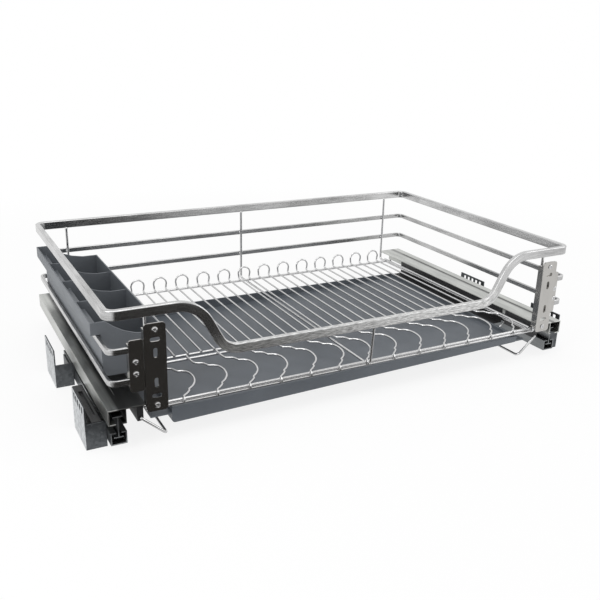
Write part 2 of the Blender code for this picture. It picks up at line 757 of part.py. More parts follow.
def add_tray_runners(parent):
    ends = (SLIDE_FRONT + RUNNER_START, SLIDE_FRONT + RUNNER_START + RUNNER_LENGTH)
    web = TOP_PLATE_EDGE + RUNNER_OFFSET
    top = SLIDE_TOP - SLIDE_SHEET - SEAT_GAP
    outline = [
        (web - RUNNER_LEDGE, RUNNER_LEDGE_Z - RUNNER_SHEET),
        (web + RUNNER_SHEET, RUNNER_LEDGE_Z - RUNNER_SHEET),
        (web + RUNNER_SHEET, top),
        (web, top),
        (web, RUNNER_LEDGE_Z),
        (web - RUNNER_LEDGE, RUNNER_LEDGE_Z),
    ]
    for label, side in SIDES.items():
        angle = slab("tray_runner_" + label, "Y", ends, mirrored(outline, side))
        finish(angle, BLACK_PLASTIC, parent)


def add_cutlery_box(parent):
    """A trough whose upper part widens over the rail, so that it hangs on it."""
    ends = (SLIDE_FRONT + BOX_START, SLIDE_FRONT + BOX_START + BOX_LENGTH)
    rail_face = -RAIL_HALF_WIDTH
    rail_top = RIM_TOP - UPPER_RAIL_DROP + RAIL_HEIGHT / 2
    left = rail_face + RAIL_THICKNESS + BOX_RAIL_GAP
    right = left + BOX_WIDTH
    bottom = RACK_WIRE_Z + RACK_WIRE_RADIUS + BOX_FLOOR_GAP
    shelf = rail_top + SEAT_GAP
    lip = rail_top + BOX_LIP_RISE
    far = lip - BOX_FAR_DROP
    skirt = rail_face - SKIRT_REACH
    scoop_x = left + BOX_SCOOP_START
    scoop = [
        (scoop_x + across * BOX_SCOOP_WIDTH, lip - down * BOX_FAR_DROP, 0)
        for across, down in reversed(SCOOP_SHARES)
    ]

    def trough(inset, outer_top, far_top):
        """The outline from its outer edge to its far wall, moved in by an inset."""
        over_rail = [(skirt + inset, outer_top, 0), (skirt + inset, shelf + inset, 0)]
        corners = [
            (left + inset, shelf + inset, 0),
            (left + inset, bottom + inset, 0),
            (right - inset, bottom + inset, 0),
            (right - inset, far_top, 0),
        ]
        return over_rail + rounded(corners, BOX_CORNER - inset, CORNER_STEPS, False)

    box = slab("cutlery_box", "Y", ends, trough(0, lip, far) + scoop + [(scoop_x, lip, 0)])
    above = lip + CUT_OVERRUN
    inside = (ends[0] + BOX_WALL, ends[1] - BOX_WALL)
    cut(box, slab("hollow", "Y", inside, trough(BOX_WALL, above, above)))
    divider = trough(BOX_WALL / 2, lip - DIVIDER_DROP, far - DIVIDER_DROP)
    divider += [(x, z - DIVIDER_DROP, 0) for x, z, _ in scoop]
    divider.append((scoop_x, lip - DIVIDER_DROP, 0))
    pieces = []
    for y in evenly(COMPARTMENT_COUNT - 1, *ends):
        pieces.append(slab("divider", "Y", around(y, DIVIDER_SHEET), divider))
    join(box, *pieces)
    finish(box, SLATE, parent)


def add_screw(name, place, shank_length, parent):
    """A pan-head screw that faces forwards, its head on the face that it holds."""
    edge = SEAT_GAP + SCREW_RIM_SHARE * (SCREW_HEAD_HEIGHT - SEAT_GAP)
    profile = [
        (0, SCREW_HEAD_HEIGHT),
        (SCREW_CROWN_SHARE * SCREW_HEAD_RADIUS, SCREW_HEAD_HEIGHT),
        (SCREW_HEAD_RADIUS, edge),
        (SCREW_HEAD_RADIUS, SEAT_GAP),
        (SCREW_RADIUS, SEAT_GAP),
        (SCREW_RADIUS, -shank_length),
        (0, -shank_length),
    ]
    finish(turned(name, profile, place, (0, -1, 0)), CHROME, parent)


def add_front_plates(parent):
    top = RIM_TOP - FRONT_PLATE_DROP
    bottom = top - FRONT_PLATE_HEIGHT
    middle_z = (top + bottom) / 2
    for label, side in SIDES.items():
        # Each flange is at its plate's left edge, with the cradle's wire to the right of it
        left = side * CRADLE_SPREAD - CRADLE_RADIUS - SEAT_GAP - FRONT_PLATE_SHEET
        middle_x = left + FRONT_PLATE_WIDTH / 2
        holes = []
        for up in (-1, 1):
            screw_z = middle_z + up * SCREW_PLACE_SHARE * FRONT_PLATE_HEIGHT
            holes.append(circle(middle_x, screw_z, SCREW_RADIUS + SCREW_SPACE))
            sideways_z = middle_z + up * SIDEWAYS_SLOT_SHARE * FRONT_PLATE_HEIGHT
            upright_z = middle_z + up * UPRIGHT_SLOT_SHARE * FRONT_PLATE_HEIGHT
            for z, width, height in (
                (sideways_z, SLOT_LENGTH, SLOT_WIDTH),
                (upright_z, SLOT_WIDTH, SLOT_LENGTH),
            ):
                slot = rounded_rectangle(around(middle_x, width), around(z, height), SLOT_WIDTH / 2)
                holes.append(slot)
            level = "upper" if up == 1 else "lower"
            add_screw(
                f"front_plate_screw_{level}_{label}",
                (middle_x, PLATE_FACE, screw_z),
                FRONT_PLATE_SHEET,
                parent,
            )
        outline = rounded_rectangle(
            (left, left + FRONT_PLATE_WIDTH), (bottom, top), FRONT_PLATE_CORNER
        )
        plate = slab("front_plate_" + label, "Y", (PLATE_FACE, PLATE_BACK), outline, holes)
        flange = block(
            "flange",
            (left, left + FRONT_PLATE_SHEET),
            (PLATE_FACE + FRONT_PLATE_SHEET / 2, -CRADLE_Y + CRADLE_RADIUS),
            (bottom + FRONT_FLANGE_INSET, top - FRONT_FLANGE_INSET),
        )
        finish(join(plate, flange), PLATE_STEEL, parent)


def add_rail_plates(parent):
    top = RIM_TOP - RAIL_PLATE_DROP
    bottom = top - RAIL_PLATE_HEIGHT
    face = PLATE_BACK + SEAT_GAP
    for label, side in SIDES.items():
        edge = TOP_PLATE_EDGE + RAIL_PLATE_WIDTHS[label]
        screw_x = side * (edge - RAIL_SCREW_INSETS[label])
        holes = []
        for index in range(2):
            screw_z = top - RAIL_SCREW_DROP - index * RAIL_SCREW_PITCH
            holes.append(circle(screw_x, screw_z, SCREW_RADIUS + SCREW_SPACE))
            level = ("upper", "lower")[index]
            name = f"rail_plate_screw_{level}_{label}"
            add_screw(name, (screw_x, face, screw_z), RAIL_PLATE_SHEET, parent)
        outline = rounded_rectangle(
            side_ends(side, TOP_PLATE_EDGE, edge), (bottom, top), RAIL_PLATE_CORNER
        )
        plate = slab("rail_plate_" + label, "Y", (face, face + RAIL_PLATE_SHEET), outline, holes)
        flange = block(
            "flange",
            side_ends(side, edge - RAIL_PLATE_SHEET, edge),
            (face + RAIL_PLATE_SHEET / 2, face + RAIL_PLATE_FLANGE),
            (bottom + RAIL_FLANGE_INSET, top - RAIL_FLANGE_INSET),
        )
        finish(join(plate, flange), PLATE_STEEL, parent)


def add_moving_channel(label, side, parent):
    inner = WEB_X - MOVING_INNER_REACH
    outer = WEB_X + MOVING_OUTER_REACH
    mouth = around(WEB_X, MOVING_MOUTH)
    bottom = SLIDE_TOP - MOVING_HEIGHT
    under = SLIDE_TOP - SLIDE_SHEET
    lip = bottom + SLIDE_SHEET
    outline = [
        (inner, SLIDE_TOP),
        (inner, bottom),
        (mouth[0], bottom),
        (mouth[0], lip),
        (inner + SLIDE_SHEET, lip),
        (inner + SLIDE_SHEET, under),
        (outer - SLIDE_SHEET, under),
        (outer - SLIDE_SHEET, lip),
        (mouth[1], lip),
        (mouth[1], bottom),
        (outer, bottom),
        (outer, SLIDE_TOP),
    ]
    ends = (SLIDE_FRONT, SLIDE_REAR)
    channel = slab("moving_channel_" + label, "Y", ends, mirrored(outline, side))
    plate = block("plate", side_ends(side, TOP_PLATE_EDGE, WEB_X), ends, (under, SLIDE_TOP))
    join(channel, plate)
    groove = block(
        "groove",
        side_ends(side, WEB_X - GROOVE_OFFSET - GROOVE_WIDTH, WEB_X - GROOVE_OFFSET),
        (SLIDE_FRONT + GROOVE_FRONT_INSET, SLIDE_REAR - GROOVE_BACK_INSET),
        (SLIDE_TOP - GROOVE_DEPTH, SLIDE_TOP + CUT_OVERRUN),
    )
    finish(cut(channel, groove), SLIDE_STEEL, parent)


def middle_bar_heights():
    """The underside of its lower flange, and the top of its upper one."""
    low = FIXED_LIFT + SLIDE_SHEET + 2 * (LOWER_ROLLER_RADIUS + SEAT_GAP)
    high = SLIDE_TOP - SLIDE_SHEET - 2 * (UPPER_ROLLER_RADIUS + SEAT_GAP)
    return low, high


def add_middle_bar(label, side, parent):
    low, high = middle_bar_heights()
    web = around(WEB_X, SLIDE_SHEET)
    flange = around(WEB_X, MIDDLE_WIDTH)
    outline = [
        (flange[0], low),
        (flange[1], low),
        (flange[1], low + SLIDE_SHEET),
        (web[1], low + SLIDE_SHEET),
        (web[1], high - SLIDE_SHEET),
        (flange[1], high - SLIDE_SHEET),
        (flange[1], high),
        (flange[0], high),
        (flange[0], high - SLIDE_SHEET),
        (web[0], high - SLIDE_SHEET),
        (web[0], low + SLIDE_SHEET),
        (flange[0], low + SLIDE_SHEET),
    ]
    ends = (LOWER_FRONT, LOWER_FRONT + LOWER_MEMBER_LENGTH)
    bar = slab("middle_bar_" + label, "Y", ends, mirrored(outline, side))
    finish(bar, SLIDE_STEEL, parent)


def rivet_place(side, start):
    return (
        side * (WEB_X + FIXED_WIDTH / 2),
        SLIDE_FRONT + start + BRACKET_LENGTH / 2,
        FIXED_LIFT + FIXED_HEIGHT / 2,
    )


def add_fixed_channel(label, side, parent):
    outside = around(WEB_X, FIXED_WIDTH)
    inside = (outside[0] + SLIDE_SHEET, outside[1] - SLIDE_SHEET)
    mouth = around(WEB_X, FIXED_MOUTH)
    top = FIXED_LIFT + FIXED_HEIGHT
    outline = [
        (outside[0], FIXED_LIFT),
        (outside[1], FIXED_LIFT),
        (outside[1], top),
        (mouth[1], top),
        (mouth[1], top - SLIDE_SHEET),
        (inside[1], top - SLIDE_SHEET),
        (inside[1], FIXED_LIFT + SLIDE_SHEET),
        (inside[0], FIXED_LIFT + SLIDE_SHEET),
        (inside[0], top - SLIDE_SHEET),
        (mouth[0], top - SLIDE_SHEET),
        (mouth[0], top),
        (outside[0], top),
    ]
    ends = (LOWER_FRONT, LOWER_FRONT + LOWER_MEMBER_LENGTH)
    channel = slab("fixed_channel_" + label, "Y", ends, mirrored(outline, side))
    holes = []
    for start in (FRONT_BRACKET_START, REAR_BRACKET_START):
        place = rivet_place(side, start)
        radius = RIVET_RADIUS + SCREW_SPACE
        length = 2 * SLIDE_SHEET + CUT_OVERRUN
        holes.append(cylinder("hole", place, (1, 0, 0), radius, length, HOLE_SIDES))
    finish(cut(channel, *holes), SLIDE_STEEL, parent)


def roller_cage(name, side, height, radius):
    start = SLIDE_FRONT + CAGE_START
    strip = block(
        name,
        side_ends(side, *around(WEB_X, MIDDLE_WIDTH)),
        (start, start + CAGE_LENGTH),
        around(height, CAGE_STRIP),
    )
    rollers = []
    span = CAGE_LENGTH - 2 * CAGE_END
    for index in range(CAGE_ROLLERS):
        place = (side * WEB_X, start + CAGE_END + span * index / (CAGE_ROLLERS - 1), height)
        rollers.append(cylinder("roller", place, (1, 0, 0), radius, ROLLER_LENGTH, ROUND_SIDES))
    return join(strip, *rollers)


def add_roller_cages(label, side, upper_parent, lower_parent):
    low, high = middle_bar_heights()
    upper_z = high + SEAT_GAP + UPPER_ROLLER_RADIUS
    upper = roller_cage("upper_roller_cage_" + label, side, upper_z, UPPER_ROLLER_RADIUS)
    finish(upper, BLACK_PLASTIC, upper_parent)
    lower_z = low - SEAT_GAP - LOWER_ROLLER_RADIUS
    lower = roller_cage("lower_roller_cage_" + label, side, lower_z, LOWER_ROLLER_RADIUS)
    finish(lower, BLACK_PLASTIC, lower_parent)


def add_wall_bracket(name, side, start, parent):
    near = HALF_CABINET - BRACKET_WIDTH
    inner_wall = near + BRACKET_SHEET
    outer_wall = HALF_CABINET - BRACKET_SHEET
    top = SLIDE_TOP - BRACKET_TOP_DROP
    outline = [
        (near, 0),
        (HALF_CABINET, 0),
        (HALF_CABINET, top),
        (outer_wall, top),
        (outer_wall, BRACKET_SHEET),
        (inner_wall, BRACKET_SHEET),
        (inner_wall, BRACKET_INNER_HEIGHT),
        (near, BRACKET_INNER_HEIGHT),
    ]
    front = SLIDE_FRONT + start
    bracket = slab(name, "Y", (front, front + BRACKET_LENGTH), mirrored(outline, side))
    face = block(
        "face",
        side_ends(side, near, HALF_CABINET - BRACKET_SHEET / 2),
        (front, front + BRACKET_SHEET),
        (0, BRACKET_FACE_HEIGHT),
    )
    join(bracket, face)
    cutters = []
    window_top = top - WINDOW_DROP
    first = front + BRACKET_LENGTH / 2 - (WINDOW_COUNT - 1) / 2 * WINDOW_PITCH
    for index in range(WINDOW_COUNT):
        cutters.append(
            block(
                "window",
                side_ends(side, outer_wall - CUT_OVERRUN, HALF_CABINET + CUT_OVERRUN),
                around(first + index * WINDOW_PITCH, WINDOW_WIDTH),
                (window_top - WINDOW_HEIGHT, window_top),
            )
        )
    place = rivet_place(side, start)
    hole_place = (place[0] + side * (SEAT_GAP + BRACKET_SHEET / 2), place[1], place[2])
    radius = RIVET_RADIUS + SCREW_SPACE
    length = 2 * BRACKET_SHEET
    cutters.append(cylinder("hole", hole_place, (1, 0, 0), radius, length, HOLE_SIDES))
    finish(cut(bracket, *cutters), ZINC, parent)


def add_rivet(name, side, start, parent):
    """A rivet through the bracket's inner wall and the fixed channel's wall."""
    inner_seat = -SLIDE_SHEET - SEAT_GAP
    outer_seat = SEAT_GAP + BRACKET_SHEET + SEAT_GAP
    inner_end = inner_seat - RIVET_HEAD_HEIGHT
    outer_end = outer_seat + RIVET_HEAD_HEIGHT
    profile = [
        (0, outer_end),
        (RIVET_RADIUS, outer_end),
        (RIVET_HEAD_RADIUS, outer_seat),
        (RIVET_RADIUS, outer_seat),
        (RIVET_RADIUS, inner_seat),
        (RIVET_HEAD_RADIUS, inner_seat),
        (RIVET_RADIUS, inner_end),
        (0, inner_end),
    ]
    finish(turned(name, profile, rivet_place(side, start), (side, 0, 0)), ZINC, parent)


def add_soft_closer(label, side, parent):
    near = WEB_X + MOVING_OUTER_REACH + CLOSER_SIDE_GAP
    front = SLIDE_FRONT + FRONT_BRACKET_START + BRACKET_SHEET + CLOSER_FRONT_GAP
    ends = (front, front + CLOSER_LENGTH)
    z_ends = (BRACKET_SHEET + SEAT_GAP, CLOSER_TOP)
    x_ends = (near, near + CLOSER_WIDTH)
    outline = mirrored(rounded_rectangle(x_ends, z_ends, CLOSER_EDGE), side)
    housing = slab("soft_closer_" + label, "Y", ends, outline)
    slot_y = around(front + CLOSER_LENGTH / 2, CATCH_SLOT_LENGTH)
    middle = near + CLOSER_WIDTH / 2
    slot = block(
        "slot",
        side_ends(side, *around(middle, CATCH_SLOT_WIDTH)),
        slot_y,
        (CLOSER_TOP - CATCH_SLOT_DEPTH, CLOSER_TOP + CUT_OVERRUN),
    )
    finish(cut(housing, slot), BLACK_PLASTIC, parent)


def bail_ends():
    """The middles of a bail's two legs, front to back."""
    front = SLIDE_FRONT + BAIL_START
    return front, front + BAIL_WIDTH


def add_lock_housing(label, side, parent):
    front, back = bail_ends()
    ends = (front + BAIL_RADIUS + SEAT_GAP, back - BAIL_RADIUS - SEAT_GAP)
    top = SLIDE_TOP - SLIDE_SHEET - SEAT_GAP
    outline = rounded_rectangle(around(PIVOT_X, LOCK_WIDTH), (top - LOCK_HEIGHT, top), LOCK_EDGE)
    housing = slab("lock_housing_" + label, "Y", ends, mirrored(outline, side))
    bores = []
    length = 2 * (BAIL_PIVOT_LENGTH + SEAT_GAP)
    for y in ends:
        place = (side * PIVOT_X, y, PIVOT_Z)
        radius = BAIL_RADIUS + SCREW_SPACE
        bores.append(cylinder("bore", place, (0, 1, 0), radius, length, HOLE_SIDES))
    finish(cut(housing, *bores), BLACK_PLASTIC, parent)


def add_release_bail(label, side, parent):
    """A wire loop on two pivots, which hangs down and inwards."""
    front, back = bail_ends()
    pivot = (side * PIVOT_X, (front + back) / 2, PIVOT_Z)
    tip_x = side * (PIVOT_X - BAIL_REACH * math.cos(BAIL_SLANT))
    tip_z = PIVOT_Z - BAIL_REACH * math.sin(BAIL_SLANT)
    inset = BAIL_RADIUS + BAIL_PIVOT_LENGTH
    corners = [
        (pivot[0], front + inset, PIVOT_Z),
        (pivot[0], front, PIVOT_Z),
        (tip_x, front, tip_z),
        (tip_x, back, tip_z),
        (pivot[0], back, PIVOT_Z),
        (pivot[0], back - inset, PIVOT_Z),
    ]
    radii = [0.0, BAIL_PIVOT_RADIUS, BAIL_TIP_RADIUS, BAIL_TIP_RADIUS, BAIL_PIVOT_RADIUS, 0.0]
    path = rounded(corners, radii, CORNER_STEPS, False)
    bail = wire("release_bail_" + label, path, BAIL_RADIUS)
    finish(bail, CHROME, parent, pivot)


def build():
    cabinet_side = carrier("cabinet_side")
    basket = carrier("basket")
    plate_rack = carrier("lifted_plate_rack", parent=basket)
    bowl_rack = carrier("lifted_bowl_rack", parent=basket)
    tray = carrier("sliding_tray", parent=basket)
    box = carrier("lifted_cutlery_box", parent=basket)
    add_rim(basket)
    add_side_rails(basket)
    add_cradle(basket)
    add_front_plates(basket)
    add_rail_plates(basket)
    add_tray_runners(basket)
    add_plate_rack(plate_rack)
    add_bowl_rack(bowl_rack)
    add_drip_tray(tray)
    add_cutlery_box(box)
    front, back = bail_ends()
    for label, side in SIDES.items():
        middle = carrier("middle_" + label, parent=cabinet_side)
        upper = carrier("upper_rollers_" + label, parent=middle)
        lower = carrier("lower_rollers_" + label, parent=cabinet_side)
        pivot_place = (side * PIVOT_X, (front + back) / 2, PIVOT_Z)
        pivot = carrier("bail_pivot_" + label, pivot_place, basket)
        add_moving_channel(label, side, basket)
        add_middle_bar(label, side, middle)
        add_roller_cages(label, side, upper, lower)
        add_fixed_channel(label, side, cabinet_side)
        add_soft_closer(label, side, cabinet_side)
        add_lock_housing(label, side, basket)
        add_release_bail(label, side, pivot)
        for level, start in (("front", FRONT_BRACKET_START), ("rear", REAR_BRACKET_START)):
            add_wall_bracket(f"wall_bracket_{level}_{label}", side, start, cabinet_side)
            add_rivet(f"bracket_rivet_{level}_{label}", side, start, cabinet_side)


build()
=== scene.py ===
import json
import math

import bmesh
import bpy
import numpy as np
from mathutils import Matrix, Vector


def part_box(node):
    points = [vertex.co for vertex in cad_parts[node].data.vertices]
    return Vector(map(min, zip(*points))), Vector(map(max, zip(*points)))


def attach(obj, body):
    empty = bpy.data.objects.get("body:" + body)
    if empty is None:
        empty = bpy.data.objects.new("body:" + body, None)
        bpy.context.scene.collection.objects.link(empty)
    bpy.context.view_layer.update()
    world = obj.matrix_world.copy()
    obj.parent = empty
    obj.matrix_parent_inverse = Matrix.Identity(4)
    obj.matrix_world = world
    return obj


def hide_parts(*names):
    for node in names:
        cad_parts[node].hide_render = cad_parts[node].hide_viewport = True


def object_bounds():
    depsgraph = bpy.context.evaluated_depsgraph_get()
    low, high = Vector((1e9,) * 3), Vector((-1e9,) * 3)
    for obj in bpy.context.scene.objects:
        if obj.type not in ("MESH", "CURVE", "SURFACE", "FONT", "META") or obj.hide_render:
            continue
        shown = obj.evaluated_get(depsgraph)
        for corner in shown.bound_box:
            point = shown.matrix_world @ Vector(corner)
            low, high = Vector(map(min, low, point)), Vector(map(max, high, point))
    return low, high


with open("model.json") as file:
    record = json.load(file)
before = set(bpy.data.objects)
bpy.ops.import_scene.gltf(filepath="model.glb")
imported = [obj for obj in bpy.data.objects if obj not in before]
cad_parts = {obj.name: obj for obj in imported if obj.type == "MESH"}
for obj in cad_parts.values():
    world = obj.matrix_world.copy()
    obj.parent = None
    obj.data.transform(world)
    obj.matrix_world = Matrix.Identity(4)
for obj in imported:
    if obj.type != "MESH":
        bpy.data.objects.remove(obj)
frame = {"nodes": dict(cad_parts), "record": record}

nodes = frame["nodes"]
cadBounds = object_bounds()
sides = {"left": -1, "right": 1}
bodyOf = {}
for body, members in frame["record"]["behaviour"]["bodies"].items():
    for member in members:
        bodyOf[member] = body
slotOf = {row["node"]: row["material_slot"] for row in frame["record"]["subparts"]}
print("frame loaded:", len(nodes), "nodes")


class Signal:  # a node's output, which a Python sum can add or multiply
    def __init__(self, finish, socket):
        self.finish = finish
        self.socket = socket

    def combined(self, operation, other):
        return self.finish.node("ShaderNodeMath", {"operation": operation}, [self, other])

    def __add__(self, other):
        return self.combined("ADD", other)

    def __mul__(self, other):
        return self.combined("MULTIPLY", other)

    __radd__ = __add__


socketNames = {
    "colour": "Base Color",
    "roughness": "Roughness",
    "metallic": "Metallic",
    "normal": "Normal",
}


class Finish:  # one material and the ways to add nodes to it
    def __init__(self, name):
        self.material = bpy.data.materials.new(name)
        self.material.use_nodes = True
        self.tree = self.material.node_tree
        self.shader = self.tree.nodes["Principled BSDF"]

    def node(self, kind, settings=None, values=(), output=0):
        made = self.tree.nodes.new(kind)
        for key, value in (settings or {}).items():
            setattr(made, key, value)
        pairs = values.items() if isinstance(values, dict) else enumerate(values)
        for key, value in pairs:
            if isinstance(value, Signal):
                self.tree.links.new(value.socket, made.inputs[key])
            else:
                made.inputs[key].default_value = value
        return Signal(self, made.outputs[output])

    def spot(self, along=False):
        # The point on the piece, or along it on its own pattern map
        return self.node("ShaderNodeTexCoord", output="UV" if along else "Object")

    def pattern(self, scale, detail, roughness, along=False):
        # Noise with one scale for all directions, or one for each
        scales = scale if isinstance(scale, tuple) else (scale, scale, scale)
        where = self.node("ShaderNodeMapping", values={"Vector": self.spot(along), "Scale": scales})
        values = {"Vector": where, "Scale": 1.0, "Detail": detail, "Roughness": roughness}
        return self.node("ShaderNodeTexNoise", values=values)

    def blend(self, signals, shares):
        parts = [signal * share for signal, share in zip(signals, shares)]
        total = parts[0]
        for part in parts[1:]:
            total = total + part
        return total

    def ramp(self, signal, places, levels=(0.0, 1.0)):
        made = self.node("ShaderNodeValToRGB", values=[signal])
        stops = made.socket.node.color_ramp.elements
        for index, (place, level) in enumerate(zip(places, levels)):
            # A new ramp already has two stops
            stop = stops[index] if index < 2 else stops.new(place)
            stop.position = place
            stop.color = (level, level, level, 1)
        return made

    def mix(self, share, first, second):
        colours = [c if isinstance(c, Signal) else (*c, 1) for c in (first, second)]
        values = {0: share, 6: colours[0], 7: colours[1]}
        return self.node("ShaderNodeMix", {"data_type": "RGBA"}, values, 2)

    def bump(self, height, distance):
        values = {"Height": height, "Distance": distance, "Strength": 1.0}
        return self.node("ShaderNodeBump", values=values)

    def set(self, **values):
        for key, value in values.items():
            socket = self.shader.inputs[socketNames[key]]
            if isinstance(value, Signal):
                self.tree.links.new(value.socket, socket)
            else:
                socket.default_value = value
        return self.material


# In a finish's settings a pattern is its scale, detail and roughness, and shares say how patterns add up
brushedSettings = {
    "dark": (0.22, 0.22, 0.22),
    "light": (0.70, 0.70, 0.70),
    "streaks": ((35, 2600, 2600), 4, 0.6),
    "grains": ((900, 1500, 1500), 2, 0.5),
    "clouds": ((9, 40, 40), 2, 0.5),
    "shares": (0.6, 0.25, 0.3),
    "contrast": (0.44, 0.68),
    "roughness": 0.14,
    "roughnessSpread": 0.12,
    "reliefShares": (0.7, 0.3),
    "relief": 0.00004,
}
lowRunSettings = {
    "dark": (0.34, 0.34, 0.34),
    "light": (0.84, 0.84, 0.83),
    "fade": (0.112, 0.140),  # heights at which the dull look starts to fade and is gone
    "unit": 0.2,  # the height that a ramp takes as 1
    "blotches": ((110, 700, 700), 4, 0.6),
    "shares": (0.6, 0.4),
    "contrast": (0.42, 0.58),
    "roughness": 0.20,
}


def brushedSteel(name, settings, lowRun=None):
    # Long fine streaks along the bar, and slow changes where the brush pressed harder
    finish = Finish(name)
    streaks = finish.pattern(*settings["streaks"], True)
    grains = finish.pattern(*settings["grains"], True)
    clouds = finish.pattern(*settings["clouds"], True)
    brushed = finish.blend([streaks, grains, clouds], settings["shares"])
    share = finish.ramp(brushed, settings["contrast"])
    colour = finish.mix(share, settings["dark"], settings["light"])
    roughness = settings["roughness"] + streaks * settings["roughnessSpread"]
    if lowRun:
        # The rim's low run is duller, and blotches about a centimetre long break up its streaks
        height = finish.node("ShaderNodeSeparateXYZ", values=[finish.spot()], output=2)
        places = [place / lowRun["unit"] for place in lowRun["fade"]]
        low = finish.ramp(height * (1 / lowRun["unit"]), places, (1.0, 0.0))
        blotches = finish.pattern(*lowRun["blotches"], True)
        patches = finish.ramp(finish.blend([blotches, streaks], lowRun["shares"]), lowRun["contrast"])
        dull = finish.mix(patches, lowRun["dark"], lowRun["light"])
        colour = finish.mix(low, colour, dull)
        roughness = roughness + low * lowRun["roughness"]
    relief = finish.blend([streaks, grains], settings["reliefShares"])
    normal = finish.bump(relief, settings["relief"])
    return finish.set(colour=colour, roughness=roughness, metallic=1.0, normal=normal)


plateSettings = {
    "dark": (0.42, 0.41, 0.395),
    "light": (0.52, 0.51, 0.49),
    "clouds": ((60, 60, 40), 3, 0.5),
    "wipes": ((700, 700, 30), 3, 0.6),
    "roughness": 0.09,
    "roughnessSpread": 0.14,
    "reliefShares": (0.5, 0.5),
    "relief": 0.00005,
}


def polishedPlate(name, settings):
    # Rolled sheet with a slight cloudiness and faint upright wipe marks
    finish = Finish(name)
    clouds = finish.pattern(*settings["clouds"])
    wipes = finish.pattern(*settings["wipes"])
    colour = finish.mix(clouds, settings["dark"], settings["light"])
    roughness = settings["roughness"] + wipes * settings["roughnessSpread"]
    relief = finish.blend([wipes, clouds], settings["reliefShares"])
    normal = finish.bump(relief, settings["relief"])
    return finish.set(colour=colour, roughness=roughness, metallic=1.0, normal=normal)


wireSettings = {
    "dark": (0.50, 0.50, 0.50),
    "light": (0.66, 0.66, 0.665),
    "spots": (500, 3, 0.6),
    "swells": (180, 2, 0.5),
    "contrast": (0.25, 0.75),
    "roughness": 0.12,
    "roughnessSpread": 0.2,
    "relief": 0.00006,
}
screwFinishSettings = {**wireSettings, "roughness": 0.08}


def chromedWire(name, settings):
    # Electropolished wire: bright, with small dull spots and slight swells along it
    finish = Finish(name)
    spots = finish.pattern(*settings["spots"])
    swells = finish.pattern(*settings["swells"])
    colour = finish.mix(finish.ramp(spots, settings["contrast"]), settings["dark"], settings["light"])
    roughness = settings["roughness"] + swells * settings["roughnessSpread"]
    normal = finish.bump(swells, settings["relief"])
    return finish.set(colour=colour, roughness=roughness, metallic=1.0, normal=normal)


zincSettings = {
    "dark": (0.40, 0.415, 0.43),
    "light": (0.66, 0.68, 0.69),
    # painted shade: the darker zinc on every face but the outer skin
    "innerDark": (0.075, 0.080, 0.085),
    "innerLight": (0.125, 0.133, 0.140),
    "crystals": 260,
    "frost": (900, 4, 0.6),
    "warp": (120, 2, 0.5),
    "shares": (0.45, 0.4, 0.25),
    "contrast": (0.3, 0.85),
    "roughness": 0.34,
    "roughnessSpread": 0.2,
    "reliefShares": (0.6, 0.4),
    "relief": 0.00006,
    "skin": 0.0004,
}


def galvanisedSheet(name, settings, side):
    # Zinc crystals a few millimetres across, each with its own shade, under a fine frost
    finish = Finish(name)
    values = {"Vector": finish.spot(), "Scale": settings["crystals"], "Randomness": 1.0}
    cells = finish.node("ShaderNodeTexVoronoi", {"feature": "F1"}, values, "Color")
    shade = finish.node("ShaderNodeSeparateColor", values=[cells])
    frost = finish.pattern(*settings["frost"])
    warp = finish.pattern(*settings["warp"])
    share = finish.ramp(finish.blend([shade, frost, warp], settings["shares"]), settings["contrast"])
    # Painted shade: every face but the skin that lies against the cabinet's wall gets a darker copy of the
    # zinc, standing in for shade and dark reflections. The mask is 1 on that skin, 0 everywhere nearer the
    # middle
    across = finish.node("ShaderNodeSeparateXYZ", values=[finish.spot()]) * side
    skin = cadBounds[1][0] - settings["skin"]
    unshadedSkin = finish.node("ShaderNodeMath", {"operation": "GREATER_THAN"}, [across, skin])
    zinc = finish.mix(share, settings["dark"], settings["light"])
    # Painted shade and dark reflection: the same crystals, darkened
    paintedShadeZinc = finish.mix(share, settings["innerDark"], settings["innerLight"])
    roughness = settings["roughness"] + frost * settings["roughnessSpread"]
    relief = finish.blend([frost, shade], settings["reliefShares"])
    normal = finish.bump(relief, settings["relief"])
    colour = finish.mix(unshadedSkin, paintedShadeZinc, zinc)
    return finish.set(colour=colour, roughness=roughness, metallic=1.0, normal=normal)


slideSettings = {
    "dark": (0.38, 0.39, 0.375),
    "light": (0.62, 0.63, 0.605),
    "lines": ((1500, 12, 1500), 3, 0.55),
    "smears": ((90, 18, 90), 3, 0.5),
    "shares": (0.4, 0.6),
    "contrast": (0.34, 0.66),
    "roughness": 0.26,
    "roughnessSpread": 0.2,
    "relief": 0.00003,
}
lowerSlideSettings = {
    **slideSettings,
    "dark": (0.16, 0.17, 0.175),
    "light": (0.27, 0.28, 0.285),
    "roughness": 0.28,
}
# Painted shade: a dark stripe along the slide's top, between two distances from the basket's middle. On the
# left it stands in for the shadow and dark reflection under the box, on the right for the shadow in the
# groove. It fades over a few millimetres beside them, and unit is the distance that a ramp takes as 1
leftShadeBand = {
    "side": -1,
    "ends": (0.300, 0.3455),
    "fade": 0.004,
    "unit": 0.4,
    "share": 0.9,
    "colour": (0.055, 0.056, 0.055),
}
rightShadeBand = {
    "side": 1,
    "ends": (0.3412, 0.3446),
    "fade": 0.004,
    "unit": 0.4,
    "share": 0.75,
    "colour": (0.10, 0.10, 0.10),
}


